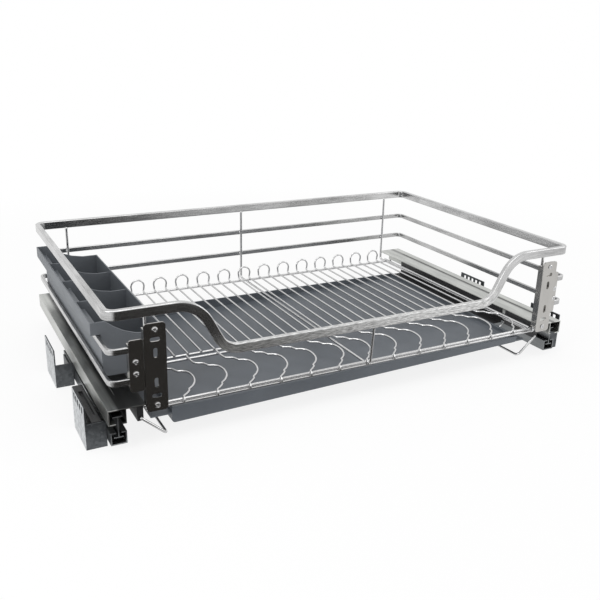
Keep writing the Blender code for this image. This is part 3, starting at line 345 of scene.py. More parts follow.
def platedSteel(name, settings, shadeBand=None):
    # Roll-formed strip: faint lines along the slide, greased smears and a thin zinc plate, and on a slide's
    # top a painted shade stripe
    finish = Finish(name)
    lines = finish.pattern(*settings["lines"])
    smears = finish.pattern(*settings["smears"])
    share = finish.ramp(finish.blend([lines, smears], settings["shares"]), settings["contrast"])
    colour = finish.mix(share, settings["dark"], settings["light"])
    # Painted shade: a dark stripe mixed over the steel's own colour
    if shadeBand:
        apart = finish.node("ShaderNodeSeparateXYZ", values=[finish.spot()])
        (start, end), fade = shadeBand["ends"], shadeBand["fade"]
        places = [place / shadeBand["unit"] for place in (start - fade, start, end, end + fade)]
        shadeMask = finish.ramp(apart * (shadeBand["side"] / shadeBand["unit"]), places, (0.0, 1.0, 1.0, 0.0))
        colour = finish.mix(shadeMask * shadeBand["share"], colour, shadeBand["colour"])
    roughness = settings["roughness"] + smears * settings["roughnessSpread"]
    normal = finish.bump(lines, settings["relief"])
    return finish.set(colour=colour, roughness=roughness, metallic=1.0, normal=normal)


plasticSettings = {
    "clouds": (14, 2, 0.5),
    "shares": (0.45, 0.55),
    "contrast": (0.35, 0.65),
    "roughnessSpread": 0.14,
    "relief": 0.00012,
}
traySettings = {
    **plasticSettings,
    "dark": (0.094, 0.106, 0.121),
    "light": (0.122, 0.136, 0.154),
    "pits": (2200, 4, 0.6),
    "roughness": 0.36,
}
boxSettings = {
    **plasticSettings,
    "dark": (0.118, 0.129, 0.143),
    "light": (0.158, 0.171, 0.188),
    "pits": (1400, 4, 0.6),
    "roughness": 0.42,
}
blackSettings = {
    **plasticSettings,
    "dark": (0.014, 0.014, 0.015),
    "light": (0.034, 0.034, 0.036),
    "pits": (1800, 4, 0.6),
    "roughness": 0.38,
}


def mouldedPlastic(name, settings):
    # Spark-eroded texture, with the slow cloudiness that moulding leaves
    finish = Finish(name)
    pits = finish.pattern(*settings["pits"])
    clouds = finish.pattern(*settings["clouds"])
    share = finish.ramp(finish.blend([pits, clouds], settings["shares"]), settings["contrast"])
    colour = finish.mix(share, settings["dark"], settings["light"])
    roughness = settings["roughness"] + pits * settings["roughnessSpread"]
    return finish.set(colour=colour, roughness=roughness, normal=finish.bump(pits, settings["relief"]))


# The first eight have the names of the frame's slots
finishes = {
    "brushed_steel": brushedSteel("brushed bar steel", brushedSettings),
    "plate_steel": polishedPlate("polished plate steel", plateSettings),
    "chrome_wire": chromedWire("electropolished wire", wireSettings),
    "screw_chrome": chromedWire("screw chrome", screwFinishSettings),
    "zinc_sheet": galvanisedSheet("galvanised sheet left", zincSettings, sides["left"]),
    "slide_steel": platedSteel("plated slide steel", slideSettings),
    "slate_plastic": mouldedPlastic("slate box plastic", boxSettings),
    "black_plastic": mouldedPlastic("black plastic", blackSettings),
    "rim": brushedSteel("brushed rim steel", brushedSettings, lowRunSettings),
    "tray": mouldedPlastic("slate tray coat", traySettings),
    "rightZinc": galvanisedSheet("galvanised sheet right", zincSettings, sides["right"]),
    "lowerSlide": platedSteel("dark slide steel", lowerSlideSettings),
    "leftSlide": platedSteel("left slide top steel", slideSettings, leftShadeBand),
    "rightSlide": platedSteel("right slide top steel", slideSettings, rightShadeBand),
}
print("finishes made:", len(finishes))

meshSettings = {"seam": 1e-7, "sharp": math.radians(40)}


class Shape:  # points, faces and pattern coordinates gathered for one piece
    def __init__(self):
        self.points = []
        self.faces = []
        self.pattern = []
        self.count = 0

    def add(self, points, quads, quadPattern, caps=()):
        self.points.append(points)
        self.faces += (quads + self.count).tolist()
        self.pattern.append(quadPattern.reshape(-1, 2))
        for indices, spots in caps:
            self.faces.append((indices + self.count).tolist())
            self.pattern.append(spots)
        self.count += len(points)

    def piece(self, name, replaced, finish):
        # Doubles at seams and poles are merged, then every closed body's faces are turned outwards
        mesh = bpy.data.meshes.new(name)
        mesh.from_pydata(np.concatenate(self.points).tolist(), [], self.faces)
        layer = mesh.uv_layers.new(name="pattern")
        layer.data.foreach_set("uv", np.concatenate(self.pattern).astype(np.float32).ravel())
        shape = bmesh.new()
        shape.from_mesh(mesh)
        bmesh.ops.remove_doubles(shape, verts=shape.verts, dist=meshSettings["seam"])
        bmesh.ops.recalc_face_normals(shape, faces=shape.faces)
        shape.to_mesh(mesh)
        shape.free()
        placed(name, mesh, replaced, finish, meshSettings["sharp"])


def placed(name, mesh, replaced, finish, sharp):
    mesh.shade_smooth()
    mesh.set_sharp_from_angle(angle=sharp)
    mesh.materials.append(finishes[finish])
    piece = bpy.data.objects.new(name, mesh)
    bpy.context.scene.collection.objects.link(piece)
    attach(piece, bodyOf[replaced])
    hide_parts(replaced)
    return piece


def unit(vectors):
    return vectors / np.linalg.norm(vectors, axis=-1, keepdims=True)


arcShare = 0.499  # the most of a straight stretch that the arc at one of its ends may take


def roundedPath(corners, radii, steps, closed=False):
    # Each corner becomes an arc:
    # centre + radius * (first * sin(rest of the turn) + last * sin(turn so far)) / sin(turn)
    corners = np.asarray(corners, float)
    radii = np.broadcast_to(radii, len(corners))
    points = []
    for index, corner in enumerate(corners):
        if not closed and index in (0, len(corners) - 1):
            points.append(corner[None])
            continue
        back = corners[index - 1] - corner
        ahead = corners[(index + 1) % len(corners)] - corner
        half = math.acos(np.dot(unit(back), unit(ahead))) / 2
        most = min(np.linalg.norm(back), np.linalg.norm(ahead)) * arcShare
        tangent = min(radii[index] / math.tan(half), most)
        radius = tangent * math.tan(half)
        centre = corner + unit(unit(back) + unit(ahead)) * radius / math.sin(half)
        first = unit(corner + unit(back) * tangent - centre)
        last = unit(corner + unit(ahead) * tangent - centre)
        turn = math.pi - 2 * half
        share = np.linspace(0, 1, steps + 1)[:, None]
        arc = first * np.sin((1 - share) * turn) + last * np.sin(share * turn)
        points.append(centre + radius * arc / math.sin(turn))
    return np.concatenate(points)


def smoothPath(points, steps):
    # A curve through every point:
    # on each span the cubic whose end slopes are half the step between the neighbours
    points = np.asarray(points, float)
    padded = np.concatenate([2 * points[:1] - points[1:2], points, 2 * points[-1:] - points[-2:-1]])
    before, start, end, after = (padded[i:len(padded) - 3 + i, None] for i in range(4))
    t = np.linspace(0, 1, steps, endpoint=False)[None, :, None]
    curve = 0.5 * (
        2 * start
        + (end - before) * t
        + (2 * before - 5 * start + 4 * end - after) * t**2
        + (3 * start - before - 3 * end + after) * t**3
    )
    return np.concatenate([curve.reshape(-1, 3), points[-1:]])


flatMargin = 0.0015  # from a bend in a bar to the first point on the straight stretch beside it


def flatBetween(points, margin, closed):
    # A stretch longer than four margins gets a point at a margin from each of its ends, so that a bend's
    # shading stops there
    points = np.asarray(points, float)
    steps = np.roll(points, -1, 0) - points
    length = np.linalg.norm(steps, axis=1, keepdims=True)
    straight = length[:, 0] > 4 * margin
    if not closed:
        straight[-1] = False
    inset = steps * margin / np.maximum(length, margin)
    row = np.stack([points, points + inset, points + steps - inset], 1)
    return row[np.stack([np.ones(len(points), bool), straight, straight], 1)]


def gridFaces(rows, columns, closed=False):
    # Quads between the rows of a grid whose columns go round; in a closed grid the last row joins the first
    lastRow = rows if closed else rows - 1
    i, j = np.meshgrid(np.arange(lastRow), np.arange(columns), indexing="ij")
    i, j = i.ravel(), j.ravel()
    row, nextRow = i * columns, (i + 1) % rows * columns
    nextJ = (j + 1) % columns
    quads = np.stack([row + j, row + nextJ, nextRow + nextJ, nextRow + j], 1)
    return quads, ((i, j), (i, j + 1), (i + 1, j + 1), (i + 1, j))


def gridPattern(corners, along, around):
    return np.stack([np.stack([along[i], around[j]], 1) for i, j in corners], 1)


def distances(points):
    # How far along the closed line each point lies, and the whole length last
    steps = np.linalg.norm(np.roll(points, -1, 0) - points, axis=1)
    return np.concatenate([[0], np.cumsum(steps)])


def addSweep(shape, path, section, closed=False, reference=(0, 0, 1)):
    # point(i, j) = path(i) + side(i) * across(j) + up(i) * height(j), where side is the path's direction
    # crossed with the reference, and up is side crossed with the direction
    path = np.asarray(path, float)
    if closed:
        ahead = np.roll(path, -1, 0) - path
        behind = np.roll(ahead, 1, 0)
    else:
        steps = np.diff(path, axis=0)
        ahead = np.concatenate([steps, steps[-1:]])
        behind = np.concatenate([steps[:1], steps])
    direction = unit(unit(ahead) + unit(behind))
    side = unit(np.cross(direction, np.asarray(reference, float)))
    up = np.cross(side, direction)
    across = side[:, None] * section[None, :, :1]
    height = up[:, None] * section[None, :, 1:]
    points = (path[:, None] + across + height).reshape(-1, 3)
    rows, columns = len(path), len(section)
    quads, corners = gridFaces(rows, columns, closed)
    caps = []
    if not closed:
        ring = np.arange(columns)
        caps = [(ring, section.copy()), (ring + (rows - 1) * columns, section.copy())]
    shape.add(points, quads, gridPattern(corners, distances(path), distances(section)), caps)


def circleSection(radius, count):
    angles = np.linspace(0, 2 * np.pi, count, endpoint=False)
    return radius * np.stack([np.cos(angles), np.sin(angles)], 1)


sectionMarginShare = 0.1  # of a bar's edge radius


def barSection(settings):
    u, v = settings["thickness"] / 2, settings["height"] / 2
    corners = [(-u, -v, 0), (u, -v, 0), (u, v, 0), (-u, v, 0)]
    outline = roundedPath(corners, settings["edge"], settings["edgeSteps"], True)[:, :2]
    return flatBetween(outline, settings["edge"] * sectionMarginShare, True)


def addBlobs(shape, centres, radii, rings, count):
    # Weld beads: centre + radii * (sin a * cos b, sin a * sin b, cos a), a from pole to pole and b round
    a = np.linspace(0, np.pi, rings + 1)[:, None]
    b = np.linspace(0, 2 * np.pi, count, endpoint=False)[None]
    ball = np.stack([np.sin(a) * np.cos(b), np.sin(a) * np.sin(b), np.cos(a) * np.ones_like(b)], -1)
    points = ball.reshape(-1, 3) * np.asarray(radii)
    quads, corners = gridFaces(rings + 1, count)
    marks = max(radii) * np.arange(max(rings, count) + 1)
    for centre in centres:
        shape.add(np.asarray(centre) + points, quads, gridPattern(corners, marks, marks))


rimSettings = {
    "height": 0.0125,
    "thickness": 0.0073,
    "edge": 0.0012,
    "edgeSteps": 4,
    "corner": 0.0125,
    "cornerSteps": 10,
    "dipDrop": 0.0655,
    "dipMiddle": 0.2273,  # middle of the basket to the middle of each slope
    "slopeRun": 0.0348,
    "lowerBend": 0.030,
    "upperBend": 0.045,
    "bendSteps": 14,
}


def makeRim(settings):
    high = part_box("rim")[1]
    x = high.x - settings["thickness"] / 2
    y = high.y - settings["thickness"] / 2
    top = high.z - settings["height"] / 2
    bottom = top - settings["dipDrop"]
    outer = settings["dipMiddle"] + settings["slopeRun"] / 2
    inner = settings["dipMiddle"] - settings["slopeRun"] / 2
    line = [(-x, top), (-outer, top), (-inner, bottom), (inner, bottom), (outer, top), (x, top)]
    upper, lower = settings["upperBend"], settings["lowerBend"]
    dipLine = [(px, -y, pz) for px, pz in line]
    dip = roundedPath(dipLine, [0, upper, lower, lower, upper, 0], settings["bendSteps"])[1:-1]
    loop = [(x, -y, top), (x, y, top), (-x, y, top), (-x, -y, top)]
    corners = roundedPath(loop, settings["corner"], settings["cornerSteps"], True)
    shape = Shape()
    path = flatBetween(np.concatenate([dip, corners]), flatMargin, True)
    addSweep(shape, path, barSection(settings), True)
    shape.piece("rimBar", "rim", "rim")


railSettings = {
    "height": 0.0076,
    "thickness": 0.004,
    "edge": 0.0009,
    "edgeSteps": 3,
    "corner": 0.0095,
    "cornerSteps": 8,
    "gap": 0.0003,
}


def makeRail(level, settings):
    node = level + "_side_rail"
    low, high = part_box(node)
    x = high.x - settings["thickness"] / 2
    y = high.y - settings["thickness"] / 2
    z = (low.z + high.z) / 2
    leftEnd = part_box("rail_plate_left")[0].x - settings["gap"]
    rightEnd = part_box("rail_plate_right")[1].x + settings["gap"]
    corners = [(leftEnd, -y, z), (-x, -y, z), (-x, y, z), (x, y, z), (x, -y, z), (rightEnd, -y, z)]
    shape = Shape()
    path = roundedPath(corners, settings["corner"], settings["cornerSteps"])
    addSweep(shape, flatBetween(path, flatMargin, False), barSection(settings))
    shape.piece(level + "RailBar", node, "brushed_steel")
    return z, y - settings["thickness"] / 2


makeRim(rimSettings)
railPlaces = [makeRail(level, railSettings) for level in ("upper", "lower")]
print("rim and rails made")

cradleSettings = {
    "radius": 0.002,
    "sides": 16,
    "bend": 0.005,
    "bendSteps": 8,
    "lean": (0.010, 0.0065),  # the middle wire's front end to the right, at its top and at its bend
    "leanBend": 0.008,
    "bead": (0.0026, 0.0012, 0.0026),
    "beadGrid": (6, 10),
}


def makeCradle(settings):
    low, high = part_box("cradle_frame")
    radius = settings["radius"]
    spread = high.x - radius
    y = high.y - radius
    floor = low.z + radius
    top = high.z
    dipTop = top - rimSettings["dipDrop"]
    section = circleSection(radius, settings["sides"])
    shape = Shape()
    beads = []
    for x, front in ((-spread, top), (0, dipTop), (spread, top)):
        upper, lower = settings["lean"] if x == 0 else (0, 0)
        bends = [0, settings["bend"] if x else settings["leanBend"], settings["bend"], 0]
        corners = [(x + upper, -y, front), (x + lower, -y, floor), (x, y, floor), (x, y, top)]
        path = roundedPath(corners, bends, settings["bendSteps"])
        addSweep(shape, path, section, reference=(1, 0, 0))
        beads += [(x + upper, -y, front - radius / 2), (x, y, top - radius / 2)]
        beads += [(x, face - radius / 4, z) for z, face in railPlaces]
    tieY = -y + settings["bend"]
    addSweep(shape, [(-spread, tieY, floor), (0, tieY, floor), (spread, tieY, floor)], section)
    beads += [(x, tieY, floor + radius / 2) for x in (-spread, settings["lean"][1], spread)]
    addBlobs(shape, beads, settings["bead"], *settings["beadGrid"])
    shape.piece("cradleWires", "cradle_frame", "chrome_wire")


makeCradle(cradleSettings)

rackSettings = {
    "rail": 0.002,
    "wire": 0.0015,
    "sides": 12,
    "weld": 0.0008,
    "sideInset": 0.012,
    "overhang": 0.0035,
    "bead": (0.0021, 0.0021, 0.0010),
    "beadGrid": (4, 8),
}


def addRackFrame(shape, node, depth, settings):
    # Two rails from left to right and two side wires on top of them
    low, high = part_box(node)
    rail = settings["rail"]
    front = low.y + settings["overhang"]
    back = front + depth
    railZ = low.z + rail
    section = circleSection(rail, settings["sides"])
    for y in (front, back):
        addSweep(shape, [(low.x, y, railZ), (0, y, railZ), (high.x, y, railZ)], section)
    sideX = high.x - settings["sideInset"]
    sideZ = railZ + 2 * rail - settings["weld"]
    for x in (-sideX, sideX):
        path = [(x, front - settings["overhang"], sideZ), (x, back + settings["overhang"], sideZ)]
        addSweep(shape, path, section)
    return front, back, railZ


archSettings = {
    "depth": 0.2725,
    "count": 14,
    "pitch": 0.0395,
    "shift": 0.0135,
    "height": 0.0212,
    "wideShare": 1.14,  # the arch's radius over a quarter of the pitch
    "foot": 0.003,
    "footSteps": 6,
    "archSteps": 16,
    "plain": 2,
}


def makePlateRack(settings, arches):
    shape = Shape()
    front, back, railZ = addRackFrame(shape, "plate_rack", arches["depth"], settings)
    wireZ = railZ + settings["rail"] + settings["wire"] - settings["weld"]
    section = circleSection(settings["wire"], settings["sides"])
    half = arches["pitch"] / 4
    wide = half * arches["wideShare"]
    archY = back + settings["wire"] + arches["foot"]
    spring = wireZ + arches["height"] - wide
    start = front - settings["overhang"]
    angles = np.linspace(np.pi, 0, arches["archSteps"] + 1)[1:-1]
    welded = []
    for index in range(arches["count"]):
        middle = arches["shift"] + (index - (arches["count"] - 1) / 2) * arches["pitch"]
        left = middle - half
        corners = [(left, start, wireZ), (left, archY, wireZ), (middle - wide, archY, spring)]
        leg = roundedPath(corners, arches["foot"], arches["footSteps"])
        other = leg[::-1] * (-1, 1, 1) + (2 * middle, 0, 0)
        x, z = middle + wide * np.cos(angles), spring + wide * np.sin(angles)
        top = np.stack([x, np.full(len(angles), archY), z], 1)
        addSweep(shape, np.concatenate([leg, top, other]), section, reference=(1, -1, 1))
        welded += [middle - half, middle + half]
    for index in range(arches["plain"]):
        x = welded[0] - (index + 1) * arches["pitch"] / 2
        addSweep(shape, [(x, start, wireZ), (x, back + settings["overhang"], wireZ)], section)
        welded.append(x)
    beadZ = railZ + settings["rail"]
    beads = [(x, y, beadZ) for x in welded for y in (front, back)]
    addBlobs(shape, beads, settings["bead"], *settings["beadGrid"])
    shape.piece("plateRackWires", "plate_rack", "chrome_wire")


bowlSettings = {
    "depth": 0.1105,
    "count": 13,
    "pitch": 0.0445,
    "shift": 0.0043,
    "bulge": 0.0305,
    "stub": 0.0036,
    "steps": 5,
}
# Each bowl wire from back to front: sideways as shares of its bulge, forwards as shares of the depth
bowlShares = np.array([
    (0.0, -0.03), (0.0, 0.04), (0.02, 0.15), (0.1, 0.21), (0.39, 0.25), (0.46, 0.29), (0.56, 0.34),
    (0.75, 0.36), (0.92, 0.41), (1.0, 0.5), (0.98, 0.6), (0.87, 0.7), (0.66, 0.79), (0.43, 0.85),
    (0.39, 0.89), (0.23, 0.94), (0.03, 0.99), (0.0, 1.03),
])


def makeBowlRack(settings, bowls):
    shape = Shape()
    front, back, railZ = addRackFrame(shape, "bowl_rack", bowls["depth"], settings)
    wireZ = railZ + settings["rail"] + settings["wire"] - settings["weld"]
    section = circleSection(settings["wire"], settings["sides"])
    sideways = bowlShares[:, 0] * bowls["bulge"]
    forwards = back - bowlShares[:, 1] * (back - front)
    nose = front - settings["rail"] - settings["wire"]
    beads = []
    for index in range(bowls["count"]):
        x = bowls["shift"] + (index - (bowls["count"] - 1) / 2) * bowls["pitch"]
        path = np.stack([x + sideways, forwards, np.full(len(bowlShares), wireZ)], 1)
        path[-1] = (x, nose, wireZ - bowls["stub"] / 4)
        stub = (x, nose, railZ - bowls["stub"])
        addSweep(shape, smoothPath(np.concatenate([path, [stub]]), bowls["steps"]), section)
        beads += [(x, y, railZ + settings["rail"]) for y in (front, back)]
    addBlobs(shape, beads, settings["bead"], *settings["beadGrid"])
    shape.piece("bowlRackWires", "bowl_rack", "chrome_wire")


makePlateRack(rackSettings, archSettings)
makeBowlRack(rackSettings, bowlSettings)
print("cradle and racks made")

bailSettings = {
    "radius": 0.0019,
    "sides": 14,
    "reach": 0.0426,
    "slant": math.radians(41.5),
    "pivot": 0.006,
    "pivotBendShare": 1.2,  # of the wire's radius
    "tipBend": 0.007,
    "bendSteps": 7,
}


def makeBail(label, side, settings):
    node = "release_bail_" + label
    low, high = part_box(node)
    radius = settings["radius"]
    front, back = low.y + radius, high.y - radius
    pivotX = side * (max(abs(low.x), abs(high.x)) - radius)
    pivotZ = high.z - radius
    slant = settings["slant"]
    tipX = pivotX - side * settings["reach"] * math.cos(slant)
    tipZ = pivotZ - settings["reach"] * math.sin(slant)
    inset = radius + settings["pivot"]
    corners = [
        (pivotX, front + inset, pivotZ),
        (pivotX, front, pivotZ),
        (tipX, front, tipZ),
        (tipX, back, tipZ),
        (pivotX, back, pivotZ),
        (pivotX, back - inset, pivotZ),
    ]
    pivotBend, tipBend = radius * settings["pivotBendShare"], settings["tipBend"]
    path = roundedPath(corners, [0, pivotBend, tipBend, tipBend, pivotBend, 0], settings["bendSteps"])
    plane = (side * math.sin(slant), 0, -math.cos(slant))
    shape = Shape()
    addSweep(shape, path, circleSection(radius, settings["sides"]), reference=plane)
    shape.piece("bail" + label.title(), node, "screw_chrome")


for label, side in sides.items():
    makeBail(label, side, bailSettings)

screwSettings = {
    "head": 0.0016,
    "crownShare": 0.45,  # of the head's height, lost from its middle to its edge
    "lip": 0.0003,
    "shank": 0.002,
    "armWidth": 0.00042,
    "armReach": 0.0021,
    "recess": 0.0007,
    "recessEdge": 0.0003,
    "rings": 22,
    "turns": 64,
}


def makeScrew(node, name, settings):
    # A domed head turned round the screw's axis:
    # height(r) = head * (1 - crown share * (r / head radius)^3),
    # less a recess on a cross of two arms, which fades out over the width of the recess's edge
    low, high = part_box(node)
    headRadius = (high.x - low.x) / 2
    head, lip, shank = settings["head"], settings["lip"], settings["shank"]
    rings, turns = settings["rings"], settings["turns"]
    seat = low.y + head
    end = -(high.y - seat)
    radius = np.linspace(0, 1, rings) * headRadius
    crown = head - settings["crownShare"] * head * (radius / headRadius) ** 3
    radius = np.concatenate([radius, [headRadius, shank, shank, 0]])
    height = np.concatenate([crown, [lip, lip, end, end]])
    angle = np.linspace(0, 2 * np.pi, turns, endpoint=False)
    across = radius[:, None] * np.cos(angle)
    up = radius[:, None] * np.sin(angle)
    nearArm = np.minimum(np.abs(across), np.abs(up)) - settings["armWidth"]
    pastReach = np.maximum(np.abs(across), np.abs(up)) - settings["armReach"]
    edge = np.maximum(nearArm, pastReach)
    recess = settings["recess"] * np.clip(0.5 - edge / settings["recessEdge"], 0, 1)
    recess[rings:] = 0
    middle = (low + high) / 2
    y = seat - (height[:, None] - recess)
    points = np.stack([middle.x + across, y, middle.z + up], -1).reshape(-1, 3)
    quads = gridFaces(len(radius), turns)[0]
    pattern = np.stack([points[quads[:, corner]][:, (0, 2)] for corner in range(4)], 1)
    shape = Shape()
    shape.add(points, quads, pattern)
    shape.piece(name, node, "screw_chrome")


for group, kind in (("front_plate", "frontPlate"), ("rail_plate", "railPlate")):
    for level in ("upper", "lower"):
        for label in sides:
            node = f"{group}_screw_{level}_{label}"
            makeScrew(node, f"{kind}Screw{level.title()}{label.title()}", screwSettings)
print("bails and screws made")

sheetSettings = {
    "seam": 1e-6,
    "flat": math.radians(1),
    "sharp": math.radians(30),
    "edge": math.radians(32),
    "segments": 3,
}
# Nodes that keep their own shape and get rounded edges: new name, edge radius, finish
pairRows = {
    "front_plate": ("frontPlate", 0.0009, "plate_steel"),
    "rail_plate": ("railPlate", 0.0009, "plate_steel"),
    "moving_channel": ("movingChannel", 0.00035, "slide_steel"),
    "middle_bar": ("middleBar", 0.00035, "lowerSlide"),
    "fixed_channel": ("fixedChannel", 0.00035, "lowerSlide"),
    "wall_bracket_front": ("wallBracketFront", 0.0005, "zinc_sheet"),
    "wall_bracket_rear": ("wallBracketRear", 0.0005, "zinc_sheet"),
    "tray_runner": ("trayRunner", 0.00035, "black_plastic"),
    "soft_closer": ("softCloser", 0.0008, "black_plastic"),
    "lock_housing": ("lockHousing", 0.0005, "black_plastic"),
}
singleRows = {
    "drip_tray": ("dripTray", 0.0008, "tray"),
    "cutlery_box": ("cutleryBox", 0.0006, "slate_plastic"),
}
# Where one side's finish differs from its row's
ownFinishes = {
    "wall_bracket_front_right": "rightZinc",
    "wall_bracket_rear_right": "rightZinc",
    "moving_channel_left": "leftSlide",
    "moving_channel_right": "rightSlide",
}


def roundedCopy(node, name, radius, finish, settings):
    # The node's loose triangles merged into whole flat faces, then its edges rounded
    mesh = bpy.data.meshes.new(name)
    shape = bmesh.new()
    shape.from_mesh(nodes[node].data)
    bmesh.ops.remove_doubles(shape, verts=shape.verts, dist=settings["seam"])
    bmesh.ops.dissolve_limit(shape, angle_limit=settings["flat"], verts=shape.verts, edges=shape.edges)
    shape.verts.index_update()
    points = [tuple(v.co) for v in shape.verts]
    faces = [[v.index for v in face.verts] for face in shape.faces]
    shape.free()
    mesh.from_pydata(points, [], faces)
    piece = placed(name, mesh, node, finish, settings["sharp"])
    bevel = piece.modifiers.new("edges", "BEVEL")
    bevel.width = radius
    bevel.segments = settings["segments"]
    bevel.limit_method = "ANGLE"
    bevel.angle_limit = settings["edge"]
    bevel.harden_normals = True


for group, (name, radius, finish) in pairRows.items():
    for label in sides:
        node = f"{group}_{label}"
        roundedCopy(node, name + label.title(), radius, ownFinishes.get(node, finish), sheetSettings)
for node, (name, radius, finish) in singleRows.items():
    roundedCopy(node, name, radius, finish, sheetSettings)
print("plates, slides, brackets, tray and box dressed")

for name, node in nodes.items():
    if not node.hide_render:
        node.data.materials.clear()
        node.data.materials.append(finishes[slotOf[name]])

cameraSettings = {
    "place": (-0.5329, -1.0150, 0.4826),
    "yaw": math.radians(28.13),
    "pitch": math.radians(19.74),
    "roll": math.radians(1.51),
    "focalPixels": 756.1,
    "framePixels": 600,
    "sensor": 36,
    "nearest": 0.01,
}


def makeCamera(settings):
    yaw, pitch, roll = settings["yaw"], settings["pitch"], settings["roll"]
    level = Vector((math.cos(yaw), -math.sin(yaw), 0))
    ahead = Vector((math.sin(yaw), math.cos(yaw), 0))
    forward = math.cos(pitch) * ahead - math.sin(pitch) * Vector((0, 0, 1))
    upright = level.cross(forward)
    right = math.cos(roll) * level + math.sin(roll) * upright
    up = math.cos(roll) * upright - math.sin(roll) * level
    camera = bpy.data.cameras.new("camera")
    camera.sensor_width = settings["sensor"]
    camera.lens = settings["focalPixels"] / settings["framePixels"] * settings["sensor"]
    camera.clip_start = settings["nearest"]
    holder = bpy.data.objects.new("camera", camera)
    bpy.context.scene.collection.objects.link(holder)
    turn = Matrix((right, up, -forward)).transposed().to_4x4()
    holder.matrix_world = Matrix.Translation(settings["place"]) @ turn
    bpy.context.scene.camera = holder


makeCamera(cameraSettings)

lightSettings = {
    "overhead": {"place": (-0.2, -0.3, 1.9), "aim": (0, 0, 0.1), "size": (1.6, 1.2), "power": 13},
    "left": {"place": (-1.7, -0.7, 0.9), "aim": (0, 0, 0.1), "size": (0.9, 1.2), "power": 12},
    "right": {"place": (1.6, -0.8, 0.9), "aim": (0, 0, 0.1), "size": (0.9, 1.2), "power": 7},
}


def makeLight(name, settings):
    light = bpy.data.lights.new(name, "AREA")
    light.shape = "RECTANGLE"
    light.size, light.size_y = settings["size"]
    light.energy = settings["power"]
    holder = bpy.data.objects.new(name, light)
    bpy.context.scene.collection.objects.link(holder)
    aim = Vector(settings["aim"]) - Vector(settings["place"])
    turn = aim.to_track_quat("-Z", "Y").to_matrix().to_4x4()
    holder.matrix_world = Matrix.Translation(settings["place"]) @ turn


for name, settings in lightSettings.items():
    makeLight(name + " light", settings)

stageSettings = {
    "floor": 60.0,
    "drop": 0.0006,
    "grey": (0.9, 0.9, 0.9),
    "world": 0.55,
    "shadow": 0.15,  # how much of the floor's own shading shows near the basket
    "near": 0.35,  # the distances at which that shading starts to fade and is gone
    "far": 1.3,
}


def seenDirectly(tree):
    # 1 for camera, glossy and transmitted rays, which see the white background,
    # and 0 for the light on the object
    path = tree.nodes.new("ShaderNodeLightPath")
    total = path.outputs["Is Camera Ray"]
    for name in ("Is Glossy Ray", "Is Transmission Ray"):
        most = tree.nodes.new("ShaderNodeMath")
        most.operation = "MAXIMUM"
        tree.links.new(total, most.inputs[0])
        tree.links.new(path.outputs[name], most.inputs[1])
        total = most.outputs[0]
    return total


def flatPlane(name, x, y, z, material):
    corners = [(x[0], y[0], z), (x[1], y[0], z), (x[1], y[1], z), (x[0], y[1], z)]
    mesh = bpy.data.meshes.new(name)
    mesh.from_pydata(corners, [], [(0, 1, 2, 3)])
    mesh.materials.append(material)
    plane = bpy.data.objects.new(name, mesh)
    bpy.context.scene.collection.objects.link(plane)
    return plane


def makeWorld(settings):
    world = bpy.data.worlds.new("studio")
    bpy.context.scene.world = world
    world.use_nodes = True
    tree = world.node_tree
    background = tree.nodes["Background"]
    background.inputs["Color"].default_value = (1, 1, 1, 1)
    level = tree.nodes.new("ShaderNodeMapRange")
    level.inputs["To Min"].default_value = settings["world"]
    level.inputs["To Max"].default_value = 1
    tree.links.new(seenDirectly(tree), level.inputs["Value"])
    tree.links.new(level.outputs["Result"], background.inputs["Strength"])


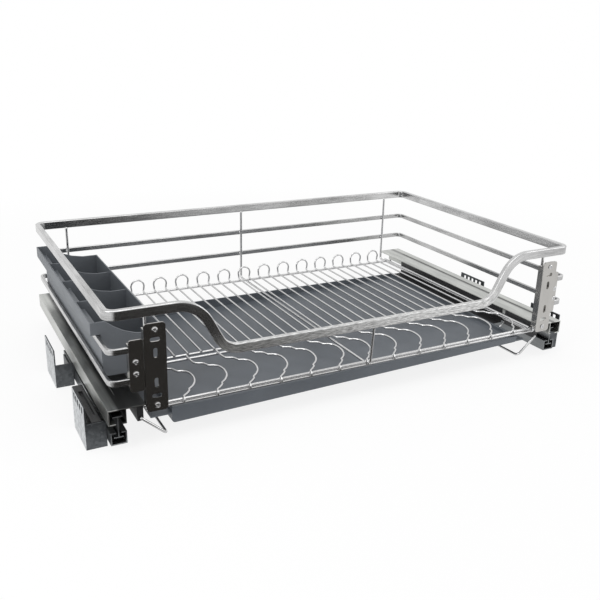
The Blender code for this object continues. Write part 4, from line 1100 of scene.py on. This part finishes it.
def makeFloor(settings):
    material = bpy.data.materials.new("pale floor")
    material.use_nodes = True
    tree = material.node_tree
    paint = tree.nodes["Principled BSDF"]
    paint.inputs["Base Color"].default_value = (*settings["grey"], 1)
    paint.inputs["Roughness"].default_value = 1
    paint.inputs["Specular IOR Level"].default_value = 0
    glow = tree.nodes.new("ShaderNodeEmission")
    glow.inputs["Color"].default_value = (1, 1, 1, 1)
    # The floor's own shading, which holds the shadow, fades out with the distance from the basket
    spot = tree.nodes.new("ShaderNodeTexCoord")
    distance = tree.nodes.new("ShaderNodeVectorMath")
    distance.operation = "LENGTH"
    tree.links.new(spot.outputs["Object"], distance.inputs[0])
    white = tree.nodes.new("ShaderNodeMapRange")
    white.inputs["From Min"].default_value = settings["near"]
    white.inputs["From Max"].default_value = settings["far"]
    white.inputs["To Min"].default_value = 1 - settings["shadow"]
    white.inputs["To Max"].default_value = 1
    tree.links.new(distance.outputs["Value"], white.inputs["Value"])
    share = tree.nodes.new("ShaderNodeMath")
    share.operation = "MULTIPLY"
    tree.links.new(seenDirectly(tree), share.inputs[0])
    tree.links.new(white.outputs["Result"], share.inputs[1])
    blend = tree.nodes.new("ShaderNodeMixShader")
    tree.links.new(share.outputs[0], blend.inputs[0])
    tree.links.new(paint.outputs[0], blend.inputs[1])
    tree.links.new(glow.outputs[0], blend.inputs[2])
    tree.links.new(blend.outputs[0], tree.nodes["Material Output"].inputs["Surface"])
    reach = settings["floor"] / 2
    flatPlane("floor", (-reach, reach), (-reach, reach), -settings["drop"], material)


makeWorld(stageSettings)
makeFloor(stageSettings)

# A dark card low in front of the left half, which only reflections see; its sides fade out
cardSettings = {
    "x": (-0.60, 0.26),
    "fades": (0.14, -0.30),  # from each side towards the card's middle
    "y": (-2.4, -0.24),
    "z": 0.004,
    "colour": (0.043, 0.041, 0.039),
}


def makeCard(settings):
    material = bpy.data.materials.new("dark card")
    material.use_nodes = True
    tree = material.node_tree
    glow = tree.nodes.new("ShaderNodeEmission")
    glow.inputs["Color"].default_value = (*settings["colour"], 1)
    spot = tree.nodes.new("ShaderNodeTexCoord")
    apart = tree.nodes.new("ShaderNodeSeparateXYZ")
    tree.links.new(spot.outputs["Object"], apart.inputs[0])
    most = tree.nodes.new("ShaderNodeMath")
    most.operation = "MAXIMUM"
    for index, (end, width) in enumerate(zip(settings["x"], settings["fades"])):
        fade = tree.nodes.new("ShaderNodeMapRange")
        fade.inputs["From Min"].default_value = end + width
        fade.inputs["From Max"].default_value = end
        tree.links.new(apart.outputs["X"], fade.inputs["Value"])
        tree.links.new(fade.outputs["Result"], most.inputs[index])
    clear = tree.nodes.new("ShaderNodeBsdfTransparent")
    blend = tree.nodes.new("ShaderNodeMixShader")
    tree.links.new(most.outputs[0], blend.inputs[0])
    tree.links.new(glow.outputs[0], blend.inputs[1])
    tree.links.new(clear.outputs[0], blend.inputs[2])
    tree.links.new(blend.outputs[0], tree.nodes["Material Output"].inputs["Surface"])
    card = flatPlane("dark card", settings["x"], settings["y"], settings["z"], material)
    card.visible_camera = False
    card.visible_diffuse = False
    card.visible_shadow = False
    card.visible_transmission = False


makeCard(cardSettings)
bpy.context.scene.view_settings.view_transform = "Standard"
print("camera, lights and stage made")
